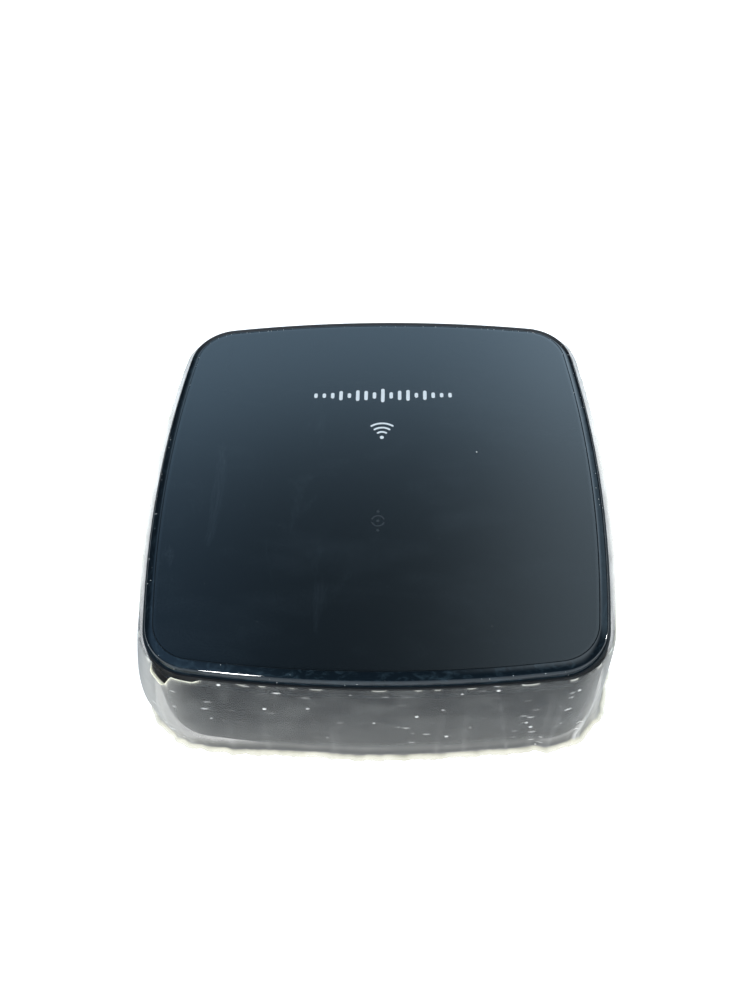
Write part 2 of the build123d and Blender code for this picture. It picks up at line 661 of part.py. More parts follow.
PROCESSOR_SPOT = (-15.0, 0.0)
PROCESSOR_SIZE = 13.0
SHIELD_SIZE = 20.0
SHIELD_HEIGHT = 2.6
CAN_WALL = 0.2
CHIP_HEIGHT = 1.2


def main_board():
    board = slab(BOARD_BOTTOM, BOARD_TOP, BOARD_INSET, 8.0)
    board = board - block((-50, 50), (BOARD_REAR, 50), (0, HEIGHT))
    for x, y in four_corners(SCREW_SPOT, SCREW_SPOT):
        board = board - upright(BOSS_RADIUS + 1.0, x, y, (0, HEIGHT))
    for x, y in four_corners(*BOARD_SPOT):
        board = board - upright(BOARD_SCREW_RADIUS + 0.3, x, y, (0, HEIGHT))
    return board


def shield_can(x, y, length, width, z0, z1):
    """A thin pressed can, open below, with rows of vent holes in its lid."""
    body = block(about(x, length), about(y, width), (z0, z1))
    body = fillet(body.edges().filter_by(Axis.Z), 0.8)
    inside = block(about(x, length - 2 * CAN_WALL), about(y, width - 2 * CAN_WALL), (z0 - 1, z1 - CAN_WALL))
    body = body - inside
    for i in range(-2, 3):
        for j in range(-2, 3):
            hole = upright(0.4, x + i * length / 7, y + j * width / 7, (z1 - 1, z1 + 1))
            body = body - hole
    return body


def processor_shield():
    return shield_can(*PROCESSOR_SPOT, SHIELD_SIZE, SHIELD_SIZE, BOARD_TOP, BOARD_TOP + SHIELD_HEIGHT)


def processor_chip():
    x, y = PROCESSOR_SPOT
    return block(about(x, PROCESSOR_SIZE), about(y, PROCESSOR_SIZE), (BOARD_TOP, BOARD_TOP + CHIP_HEIGHT))


def thermal_pad():
    x, y = PROCESSOR_SPOT
    z = (BOARD_TOP + CHIP_HEIGHT, BOARD_TOP + SHIELD_HEIGHT - CAN_WALL)
    return block(about(x, PROCESSOR_SIZE - 2), about(y, PROCESSOR_SIZE - 2), z)


def legged_chip(x, y, length, width, height, legs):
    """A flat package with a row of legs down each long side."""
    body = block(about(x, length), about(y, width), (BOARD_TOP + 0.1, BOARD_TOP + height))
    body = chamfer(edges_at(body, BOARD_TOP + height), 0.15)
    pitch = (length - 1) / (legs - 1)
    for n in range(legs):
        leg_x = x - length / 2 + 0.5 + n * pitch
        body = body + block(about(leg_x, pitch * 0.4), about(y, width + 1.6), (BOARD_TOP, BOARD_TOP + 0.15))
    return body


def memory_chips():
    return joined([legged_chip(x, -18.5, 10.0, 7.0, 1.0, 8) for x in (-20.5, -8.0)])


def audio_converter_chip():
    return legged_chip(-7.0, 17.5, 6.0, 4.4, 1.0, 7)


def power_converter_chip():
    return legged_chip(-27.0, 24.0, 4.0, 3.0, 1.0, 4)


def power_inductor():
    x, y, top = -20.5, 25.5, BOARD_TOP + 3.0
    core = block(about(x, 6), about(y, 6), (BOARD_TOP, top))
    core = fillet(core.edges().filter_by(Axis.Z), 1.2)
    groove = upright(2.5, x, y, (top - 0.3, top + 1)) - upright(1.9, x, y, (BOARD_TOP, top + 2))
    return core - groove


def can_capacitor(x, y, radius, height):
    """An electrolytic capacitor: a square foot with two cut corners and a rounded can."""
    foot = block(about(x, 2.1 * radius), about(y, 2.1 * radius), (BOARD_TOP, BOARD_TOP + 0.8))
    foot = chamfer(foot.edges().filter_by(Axis.Z).sort_by(Axis.Y)[-2:], 0.4 * radius)
    can = upright(radius, x, y, (BOARD_TOP + 0.7, BOARD_TOP + height))
    return foot + fillet(edges_at(can, BOARD_TOP + height), 0.35)


def bulk_capacitors():
    return joined([can_capacitor(-30.5, y, 3.15, 7.7) for y in (8.5, 1.0)])


def output_capacitors():
    return joined([can_capacitor(x, y, 2.0, 5.4) for x in (-14.0, 0.0) for y in (21.5, 26.5)])


def clock_crystal():
    return block(about(-15.0, 3.2), about(-12.6, 2.5), (BOARD_TOP, BOARD_TOP + 0.8))


def small_parts(spots, size):
    """Small rectangular components standing on the board."""
    length, width, height = size
    z = (BOARD_TOP, BOARD_TOP + height)
    return joined([block(about(x, length), about(y, width), z) for x, y in spots])


def ceramic_capacitors():
    beside_processor = [(-26.1, -8.0 + 2.0 * n) for n in range(7)]
    before_memory = [(-24.0 + 3.0 * n, -25.0) for n in range(7)]
    by_sockets = [(1.5, 31.0 + 1.6 * n) for n in range(3)]
    return small_parts(beside_processor + before_memory + by_sockets, (1.6, 0.8, 0.8))


def chip_resistors():
    by_module = [(9.0 + 2.4 * n, -14.0) for n in range(8)]
    by_switch = [(15.5, 24.0 + 1.6 * n) for n in range(5)]
    return small_parts(by_module + by_switch, (1.6, 0.8, 0.45))


# ---- wireless module, antennas and their cables ------------------------------------------------

MODULE_X = (7.0, 28.0)
MODULE_Y = (-11.0, 5.0)
MODULE_TOP = BOARD_TOP + 0.8
PLUG_SPOTS = ((25.8, -7.5), (25.8, 1.5))
PLUG_TOP = MODULE_TOP + 2.2
ANTENNA_X = 39.6
ANTENNA_Z = (11.0, 19.0)
ANTENNA_LENGTH = 30.0
ANTENNA_THICKNESS = 0.5
CABLE_RADIUS = 0.5


def wireless_module():
    board = block(MODULE_X, MODULE_Y, (BOARD_TOP, MODULE_TOP))
    for n in range(8):
        for y in MODULE_Y:
            board = board - upright(0.4, MODULE_X[0] + 2.2 + 2.2 * n, y, (BOARD_TOP - 1, MODULE_TOP + 1))
    return board


def wireless_shield():
    x, y = MODULE_X[0] + 8.6, sum(MODULE_Y) / 2
    return shield_can(x, y, 15.5, 14.0, MODULE_TOP, MODULE_TOP + 1.8)


def antenna_sockets():
    shapes = []
    for x, y in PLUG_SPOTS:
        pad = block(about(x, 2.6), about(y, 2.6), (MODULE_TOP, MODULE_TOP + 0.35))
        shapes.append(pad + upright(0.9, x, y, (MODULE_TOP + 0.3, MODULE_TOP + 1.1)))
    return joined(shapes)


def antenna(side):
    """A printed antenna board standing against the inside of the case wall."""
    inner = side * ANTENNA_X
    x = sorted((inner, inner + side * ANTENNA_THICKNESS))
    board = block(x, about(0, ANTENNA_LENGTH), ANTENNA_Z)
    trace_x = sorted((inner - side * 0.06, inner))
    low, high = ANTENNA_Z
    trace = block(trace_x, about(0, ANTENNA_LENGTH - 3), (high - 2.0, high - 0.8))
    trace = trace + block(trace_x, about(6, 1.2), (low + 1.5, high - 1))
    trace = trace + block(trace_x, about(0, 1.2), (low + 1.0, high - 1))
    return board + trace + block(trace_x, about(0, ANTENNA_LENGTH - 10), (low + 0.6, low + 2.0))


def antenna_cable(plug, path):
    """A coaxial lead: a snap plug over the module's socket, then a round cable."""
    x, y = plug
    cap = upright(1.35, x, y, (MODULE_TOP + 0.4, PLUG_TOP))
    cap = cap - upright(1.0, x, y, (MODULE_TOP, MODULE_TOP + 1.2))
    line = Spline(*path)
    section = Plane(origin=line @ 0, z_dir=line % 0) * Circle(CABLE_RADIUS)
    return cap + sweep(section, line)


def antenna_cable_right():
    x, y = PLUG_SPOTS[0]
    z = PLUG_TOP - 0.5
    end = ANTENNA_X - CABLE_RADIUS - 0.3
    path = [(x, y, z), (x + 5, y - 2, z + 0.6), (end - 2, y + 1, z + 2), (end, y + 7.5, ANTENNA_Z[0] + 1.5)]
    return antenna_cable(PLUG_SPOTS[0], path)


def antenna_cable_left():
    x, y = PLUG_SPOTS[1]
    z = PLUG_TOP - 0.5
    end = -ANTENNA_X + CABLE_RADIUS + 0.1
    path = [
        (x, y, z),
        (x - 6, y + 0.5, z + 1.2),
        (6, y, z + 1.4),
        (-14, y - 1, z + 1.2),
        (-28, y - 6, z + 0.6),
        (end + 2, y - 7, z + 0.8),
        (end, y - 1.5, ANTENNA_Z[0] + 1.5),
    ]
    return antenna_cable(PLUG_SPOTS[1], path)


# ---- writing the parts -------------------------------------------------------------------------

NODES = {
    "top_panel": top_panel,
    "panel_adhesive": panel_adhesive,
    "rim_bezel": rim_bezel,
    "case": case,
    "base_cover": base_cover,
    "foot_pad": foot_pad,
    "blank_label": blank_label,
    "case_screws": case_screws,
    "side_film": side_film,
    "connector_panel": connector_panel,
    "network_light_guide": lambda: light_guide(NETWORK_Y),
    "pairing_light_guide": lambda: light_guide(PAIRING_Y),
    "light_baffle": light_baffle,
    "status_lights": status_lights,
    "control_button": control_button,
    "control_switch": control_switch,
    "switch_plunger": switch_plunger,
    "switch_dome": switch_dome,
    "optical_socket": optical_socket,
    "optical_emitter": optical_emitter,
    "optical_shutter": optical_shutter,
    "shutter_pin": shutter_pin,
    "shutter_spring": shutter_spring,
    "audio_socket": audio_socket,
    "audio_socket_ring": audio_socket_ring,
    "audio_socket_contacts": audio_socket_contacts,
    "power_socket_shell": power_socket_shell,
    "power_socket_tongue": power_socket_tongue,
    "power_socket_contacts": power_socket_contacts,
    "main_board": main_board,
    "board_screws": board_screws,
    "processor_chip": processor_chip,
    "thermal_pad": thermal_pad,
    "processor_shield": processor_shield,
    "memory_chips": memory_chips,
    "audio_converter_chip": audio_converter_chip,
    "power_converter_chip": power_converter_chip,
    "power_inductor": power_inductor,
    "bulk_capacitors": bulk_capacitors,
    "output_capacitors": output_capacitors,
    "clock_crystal": clock_crystal,
    "ceramic_capacitors": ceramic_capacitors,
    "chip_resistors": chip_resistors,
    "wireless_module": wireless_module,
    "wireless_shield": wireless_shield,
    "antenna_sockets": antenna_sockets,
    "antenna_left": lambda: antenna(-1),
    "antenna_right": lambda: antenna(1),
    "antenna_cable_left": antenna_cable_left,
    "antenna_cable_right": antenna_cable_right,
}


def main():
    os.makedirs("parts", exist_ok=True)
    for name, make in NODES.items():
        export_step(make(), f"parts/{name}.step")


main()
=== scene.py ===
"""The looks of a compact wireless audio receiver, built round its CAD frame.

Metres, +Z up, the connectors towards +Y and the camera towards -Y. Places and sizes come from the
boxes of the CAD nodes; MM turns the design's own millimetre values into metres.
"""

import math
import random

import bpy
import numpy as np
from mathutils import Matrix, Vector


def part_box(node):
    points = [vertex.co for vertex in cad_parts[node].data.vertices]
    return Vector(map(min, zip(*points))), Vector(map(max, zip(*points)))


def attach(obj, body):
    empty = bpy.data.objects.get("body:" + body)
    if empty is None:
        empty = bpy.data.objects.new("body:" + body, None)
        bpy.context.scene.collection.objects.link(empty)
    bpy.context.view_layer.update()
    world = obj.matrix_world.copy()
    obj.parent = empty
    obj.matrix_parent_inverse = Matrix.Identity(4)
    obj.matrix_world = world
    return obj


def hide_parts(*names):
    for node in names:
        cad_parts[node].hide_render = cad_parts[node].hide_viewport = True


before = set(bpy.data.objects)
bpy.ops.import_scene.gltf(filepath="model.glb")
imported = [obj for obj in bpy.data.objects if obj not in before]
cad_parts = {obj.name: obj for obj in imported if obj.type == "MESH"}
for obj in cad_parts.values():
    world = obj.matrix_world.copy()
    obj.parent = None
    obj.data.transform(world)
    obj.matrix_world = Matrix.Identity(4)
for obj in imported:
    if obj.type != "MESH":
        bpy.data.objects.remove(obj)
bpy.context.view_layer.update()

MM = 0.001

# The plan outline: four long side arcs joined by four corner arcs.
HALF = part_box("rim_bezel")[1].x
SIDE_BOW = 3.8 * MM
CORNER_RADIUS = 10.5 * MM
SIDE_RADIUS = (HALF**2 + SIDE_BOW**2) / (2 * SIDE_BOW)
SIDE_CENTRE = HALF - SIDE_RADIUS

PANEL_LOW, PANEL_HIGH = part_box("top_panel")
TOP = PANEL_HIGH.z
PANEL_BOTTOM = PANEL_LOW.z
PANEL_INSET = HALF - PANEL_HIGH.x
RIM_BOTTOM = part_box("rim_bezel")[0].z
FILM_LOW, FILM_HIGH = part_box("side_film")
PLATE_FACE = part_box("connector_panel")[1].y


# ---- plan and mesh helpers ---------------------------------------------------------------------


def plan(side_steps=64, corner_steps=28):
    """Points and outward normals round the rim's outline, anticlockwise from the middle of +X."""
    reach = SIDE_RADIUS - CORNER_RADIUS
    corner = (SIDE_CENTRE + math.sqrt(2 * reach**2 - SIDE_CENTRE**2)) / 2
    turn = math.atan2(corner, corner - SIDE_CENTRE)
    points, normals = [], []
    for quarter in range(4):
        spans = (
            (0.0, turn, side_steps // 2, (SIDE_CENTRE, 0.0), SIDE_RADIUS),
            (turn, math.pi / 2 - turn, corner_steps, (corner, corner), CORNER_RADIUS),
            (math.pi / 2 - turn, math.pi / 2, side_steps // 2, (0.0, SIDE_CENTRE), SIDE_RADIUS),
        )
        cos, sin = ((1, 0), (0, 1), (-1, 0), (0, -1))[quarter]
        for start, end, steps, centre, radius in spans:
            for n in range(steps):
                angle = start + (end - start) * n / steps
                out = (math.cos(angle), math.sin(angle))
                spot = (centre[0] + radius * out[0], centre[1] + radius * out[1])
                points.append((cos * spot[0] - sin * spot[1], sin * spot[0] + cos * spot[1]))
                normals.append((cos * out[0] - sin * out[1], sin * out[0] + cos * out[1]))
    return np.array(points), np.array(normals)


def make_object(name, vertices, faces, material, smooth_angle=35.0):
    """A mesh object with smooth faces, creased where they meet at more than smooth_angle."""
    mesh = bpy.data.meshes.new(name)
    mesh.from_pydata([tuple(v) for v in vertices], [], faces)
    mesh.validate()
    mesh.shade_smooth()
    mesh.set_sharp_from_angle(angle=math.radians(smooth_angle))
    mesh.materials.append(material)
    piece = bpy.data.objects.new(name, mesh)
    bpy.context.scene.collection.objects.link(piece)
    return piece


def loops(profile, points, normals):
    """One loop of vertices for each (inset, z) of the profile."""
    flat = [np.column_stack((points - normals * inset, np.full(len(points), z))) for inset, z in profile]
    return np.vstack(flat)


def loop_faces(rings, count, closed):
    """Quads between neighbouring loops. closed joins the last loop to the first."""
    faces = []
    for ring in range(rings if closed else rings - 1):
        lower, upper = ring * count, ((ring + 1) % rings) * count
        for n in range(count):
            after = (n + 1) % count
            faces.append((lower + n, lower + after, upper + after, upper + n))
    return faces


def arc(centre, radius, start, end, steps):
    """Points on an arc in a plane, angles in degrees."""
    angles = [math.radians(start + (end - start) * n / steps) for n in range(steps + 1)]
    return [(centre[0] + radius * math.cos(a), centre[1] + radius * math.sin(a)) for a in angles]


def bezier(start, peak, end, steps):
    """Points on a curve that leaves start towards peak and reaches end from peak."""
    spots = []
    for n in range(steps + 1):
        t = n / steps
        a, b, c = (1 - t) ** 2, 2 * t * (1 - t), t**2
        spots.append((a * start[0] + b * peak[0] + c * end[0], a * start[1] + b * peak[1] + c * end[1]))
    return spots


def filled(ring, first, upward):
    """A net of quads that fills one closed loop: the loop's four quarters are its sides.

    ring holds the loop's vertices and first is its first index. Returns (new vertices, faces).
    """
    side = len(ring) // 4
    shift = side // 2
    index = [first + (n + shift) % len(ring) for n in range(len(ring))]
    spot = [ring[(n + shift) % len(ring)] for n in range(len(ring))]
    net, extra = {}, []
    fresh = first + len(ring)
    for i in range(side + 1):
        for j in range(side + 1):
            if j == 0:
                net[i, j] = index[i]
            elif i == side:
                net[i, j] = index[side + j]
            elif j == side:
                net[i, j] = index[3 * side - i]
            elif i == 0:
                net[i, j] = index[(4 * side - j) % (4 * side)]
            else:
                u, v = i / side, j / side
                low, high = spot[i], spot[3 * side - i]
                left, right = spot[(4 * side - j) % (4 * side)], spot[side + j]
                blend = (1 - v) * low + v * high + (1 - u) * left + u * right
                blend = blend - (1 - u) * (1 - v) * spot[0] - u * (1 - v) * spot[side]
                blend = blend - u * v * spot[2 * side] - (1 - u) * v * spot[3 * side]
                net[i, j] = fresh + len(extra)
                extra.append(blend)
    faces = []
    for i in range(side):
        for j in range(side):
            face = (net[i, j], net[i + 1, j], net[i + 1, j + 1], net[i, j + 1])
            faces.append(face if upward else tuple(reversed(face)))
    return extra, faces


def prism(name, outlines, low, high, material, place=None):
    """Flat shapes given by closed outlines, as thin plates from low to high along their normal.

    place turns (across, along, height) into a position; by default that is (x, y, z).
    """
    place = place or (lambda a, b, c: (a, b, c))
    vertices, faces = [], []
    for outline in outlines:
        count, first = len(outline), len(vertices)
        for height in (low, high):
            vertices += [place(a, b, height) for a, b in outline]
        faces.append(tuple(first + n for n in reversed(range(count))))
        faces.append(tuple(first + count + n for n in range(count)))
        for n in range(count):
            after = (n + 1) % count
            faces.append((first + n, first + after, first + count + after, first + count + n))
    return make_object(name, vertices, faces, material)


def stadium(centre, width, height):
    """The outline of an upright bar with round ends."""
    radius = width / 2
    rise = max(height / 2 - radius, 0.0)
    top = arc((centre[0], centre[1] + rise), radius, 0, 180, 12)
    bottom = arc((centre[0], centre[1] - rise), radius, 180, 360, 12)
    return top + bottom


def arch(centre, radius, width, start, end, steps=24):
    """The outline of a bent bar: a part of a ring with round ends."""
    outer = arc(centre, radius + width / 2, start, end, steps)
    inner = arc(centre, radius - width / 2, end, start, steps)
    caps = []
    for angle, turn in ((end, 0), (start, 180)):
        a = math.radians(angle)
        tip = (centre[0] + radius * math.cos(a), centre[1] + radius * math.sin(a))
        caps.append(arc(tip, width / 2, angle + turn, angle + turn + 180, 8)[1:-1])
    return outer + caps[0] + inner + caps[1]


# ---- material helper ---------------------------------------------------------------------------


class Nodes:
    """Adds shader nodes to one material and links them."""

    def __init__(self, name):
        self.material = bpy.data.materials.new(name)
        self.material.use_nodes = True
        self.tree = self.material.node_tree
        self.tree.nodes.clear()
        self.output = self.add("ShaderNodeOutputMaterial")
        self.shader = self.add("ShaderNodeBsdfPrincipled")
        self.link(self.shader.outputs["BSDF"], self.output.inputs["Surface"])
        self.place = self.add("ShaderNodeTexCoord").outputs["Object"]

    def add(self, kind, **settings):
        node = self.tree.nodes.new(kind)
        for key, value in settings.items():
            setattr(node, key, value)
        return node

    def link(self, source, target):
        self.tree.links.new(source, target)

    def feed(self, target, value):
        """Puts a number, a colour or another node's output into an input."""
        if isinstance(value, bpy.types.NodeSocket):
            self.link(value, target)
        elif isinstance(value, tuple) and target.type == "RGBA":
            target.default_value = (*value, 1.0)
        else:
            target.default_value = value

    def set(self, **values):
        """Inputs of the Principled shader, with _ for a space in their names."""
        for key, value in values.items():
            self.feed(self.shader.inputs[key.replace("_", " ")], value)

    def mapped(self, scale, turn=(0.0, 0.0, 0.0)):
        node = self.add("ShaderNodeMapping")
        self.link(self.place, node.inputs["Vector"])
        node.inputs["Scale"].default_value = scale
        node.inputs["Rotation"].default_value = turn
        return node.outputs["Vector"]

    def noise(self, scale, detail=2.0, rough=0.5, where=None, distortion=0.0):
        """Noise with about scale features to the metre."""
        node = self.add("ShaderNodeTexNoise")
        self.link(where or self.place, node.inputs["Vector"])
        self.feed(node.inputs["Scale"], scale)
        self.feed(node.inputs["Detail"], detail)
        self.feed(node.inputs["Roughness"], rough)
        self.feed(node.inputs["Distortion"], distortion)
        return node.outputs["Fac"]

    def cells(self, scale, where=None):
        node = self.add("ShaderNodeTexVoronoi")
        self.link(where or self.place, node.inputs["Vector"])
        self.feed(node.inputs["Scale"], scale)
        return node.outputs

    def ramp(self, value, low, high, to_low=0.0, to_high=1.0):
        """value moved from the range low..high to the range to_low..to_high, and held there."""
        node = self.add("ShaderNodeMapRange")
        for key, number in zip(("Value", "From Min", "From Max", "To Min", "To Max"),
                               (value, low, high, to_low, to_high)):
            self.feed(node.inputs[key], number)
        return node.outputs["Result"]

    def math(self, operation, a, b=0.0):
        node = self.add("ShaderNodeMath", operation=operation)
        self.feed(node.inputs[0], a)
        self.feed(node.inputs[1], b)
        return node.outputs[0]

    def mix(self, share, first, second):
        """A colour between first and second."""
        node = self.add("ShaderNodeMix", data_type="RGBA")
        for slot, value in zip((0, 6, 7), (share, first, second)):
            self.feed(node.inputs[slot], value)
        return node.outputs[2]

    def axis(self, letter):
        """One coordinate of the point being shaded, in metres."""
        node = self.add("ShaderNodeSeparateXYZ")
        self.link(self.place, node.inputs["Vector"])
        return node.outputs[letter]

    def painted(self, letter):
        """One channel of the colour painted on the mesh, which holds scuffs, tint, haze and painted
        light: Red, Green, Blue or Alpha.
        """
        node = self.add("ShaderNodeAttribute", attribute_name="wear_and_light")
        if letter == "Alpha":
            return node.outputs["Alpha"]
        split = self.add("ShaderNodeSeparateColor")
        self.link(node.outputs["Color"], split.inputs["Color"])
        return split.outputs[letter]

    def bump(self, height, depth, strength=1.0):
        """A bump whose full height is depth metres."""
        node = self.add("ShaderNodeBump")
        self.feed(node.inputs["Height"], height)
        node.inputs["Distance"].default_value = depth
        node.inputs["Strength"].default_value = strength
        self.link(node.outputs["Normal"], self.shader.inputs["Normal"])


# ---- materials ---------------------------------------------------------------------------------


def panel_material():
    """Satin coated plastic, nearly black with a blue sheen, with faint smears, hairlines and dust."""
    m = Nodes("panel_satin_black")
    smear = m.ramp(m.noise(34.0, 3.0, 0.6, m.mapped((1.0, 2.2, 1.0), (0, 0, 0.6))), 0.5, 0.78)
    rubbed = m.ramp(m.noise(75.0, 4.0, 0.7, m.mapped((1.0, 0.35, 1.0), (0, 0, -0.5)), 1.2), 0.56, 0.80)
    left = m.ramp(m.axis("X"), -0.038, 0.004, 1.0, 0.0)
    haze = m.math("ADD", m.math("MULTIPLY", smear, 0.25), m.math("MULTIPLY", rubbed, left))
    grain = m.noise(9000.0, 1.0)
    dust = m.cells(420.0)
    near = m.ramp(dust["Distance"], 0.035, 0.015)
    chosen = m.ramp(dust["Color"], 0.80, 0.81)
    speck = m.math("MULTIPLY", m.math("MULTIPLY", near, chosen), 0.16)
    base = m.mix(haze, (0.0034, 0.0062, 0.0072), (0.0200, 0.0240, 0.0260))
    m.set(Base_Color=m.mix(speck, base, (0.5, 0.52, 0.53)), IOR=1.5)
    m.set(Specular_Tint=(0.9, 0.96, 1.0), Specular_IOR_Level=0.5)
    m.set(Roughness=m.math("ADD", m.ramp(haze, 0, 1, 0.24, 0.36), m.ramp(grain, 0.3, 0.7, -0.03, 0.03)))
    m.bump(grain, 0.000004, 0.5)
    return m.material


def rim_material():
    """Polished black plastic with fine handling marks."""
    m = Nodes("bezel_gloss_black")
    streak = m.noise(420.0, 4.0, 0.7, m.mapped((1.0, 1.0, 5.0)), 1.5)
    hair = m.noise(2600.0, 2.0, 0.6, m.mapped((1.0, 0.25, 1.0)))
    m.set(Base_Color=m.mix(m.ramp(streak, 0.5, 0.75), (0.0015, 0.0035, 0.0055), (0.010, 0.018, 0.024)))
    polish = m.ramp(streak, 0.40, 0.80, 0.03, 0.09)
    m.set(Roughness=m.math("ADD", polish, m.ramp(hair, 0.55, 0.85, 0, 0.03)), IOR=1.5)
    m.bump(m.noise(260.0, 2.0), 0.00003, 0.30)
    return m.material


def moulded(name, colour, rough, grain_scale=4200.0, depth=0.000004):
    """Moulded plastic or rubber with a fine spark-eroded grain and slight patches."""
    m = Nodes(name)
    grain = m.noise(grain_scale, 3.0, 0.6)
    patch = m.noise(60.0, 2.0)
    lighter = tuple(min(1.0, c * 1.35 + 0.002) for c in colour)
    m.set(Base_Color=m.mix(m.ramp(patch, 0.35, 0.7), colour, lighter))
    m.set(Roughness=m.ramp(grain, 0.3, 0.7, rough - 0.015, rough + 0.015))
    m.bump(grain, depth, 0.6)
    return m.material


def metal(name, colour, rough, streak=(1.0, 40.0, 1.0)):
    """Plated or rolled metal with fine streaks along one direction."""
    m = Nodes(name)
    lines = m.noise(900.0, 2.0, 0.6, m.mapped(streak))
    m.set(Base_Color=m.mix(m.ramp(lines, 0.3, 0.7), colour, tuple(c * 0.8 for c in colour)), Metallic=1.0)
    m.set(Roughness=m.ramp(lines, 0.3, 0.7, rough, rough + 0.12))
    m.bump(lines, 0.000003, 0.4)
    return m.material


def board(name):
    """Green solder mask over copper: a fine pattern of tracks shows through as lighter green."""
    m = Nodes(name)
    brick = m.add("ShaderNodeTexBrick")
    m.link(m.place, brick.inputs["Vector"])
    sizes = {"Scale": 160.0, "Mortar Size": 0.06, "Brick Width": 1.7, "Row Height": 0.35}
    for key, value in sizes.items():
        brick.inputs[key].default_value = value
    patch = m.ramp(m.noise(140.0, 1.0), 0.48, 0.52)
    tracks = m.math("MULTIPLY", brick.outputs["Fac"], patch)
    m.set(Base_Color=m.mix(tracks, (0.012, 0.070, 0.030), (0.030, 0.150, 0.060)))
    m.set(Roughness=m.ramp(m.noise(2000.0), 0.3, 0.7, 0.28, 0.40))
    m.bump(tracks, 0.00003, 0.8)
    return m.material


def clear(name, colour):
    """Clear moulded plastic with faint flow lines."""
    m = Nodes(name)
    flow = m.noise(300.0, 2.0, 0.5, m.mapped((1.0, 1.0, 0.2)))
    m.set(Base_Color=m.mix(m.ramp(flow, 0.3, 0.7), colour, tuple(c * 0.93 for c in colour)))
    m.set(Roughness=m.ramp(flow, 0.3, 0.7, 0.08, 0.2), Transmission_Weight=0.9, IOR=1.49)
    return m.material


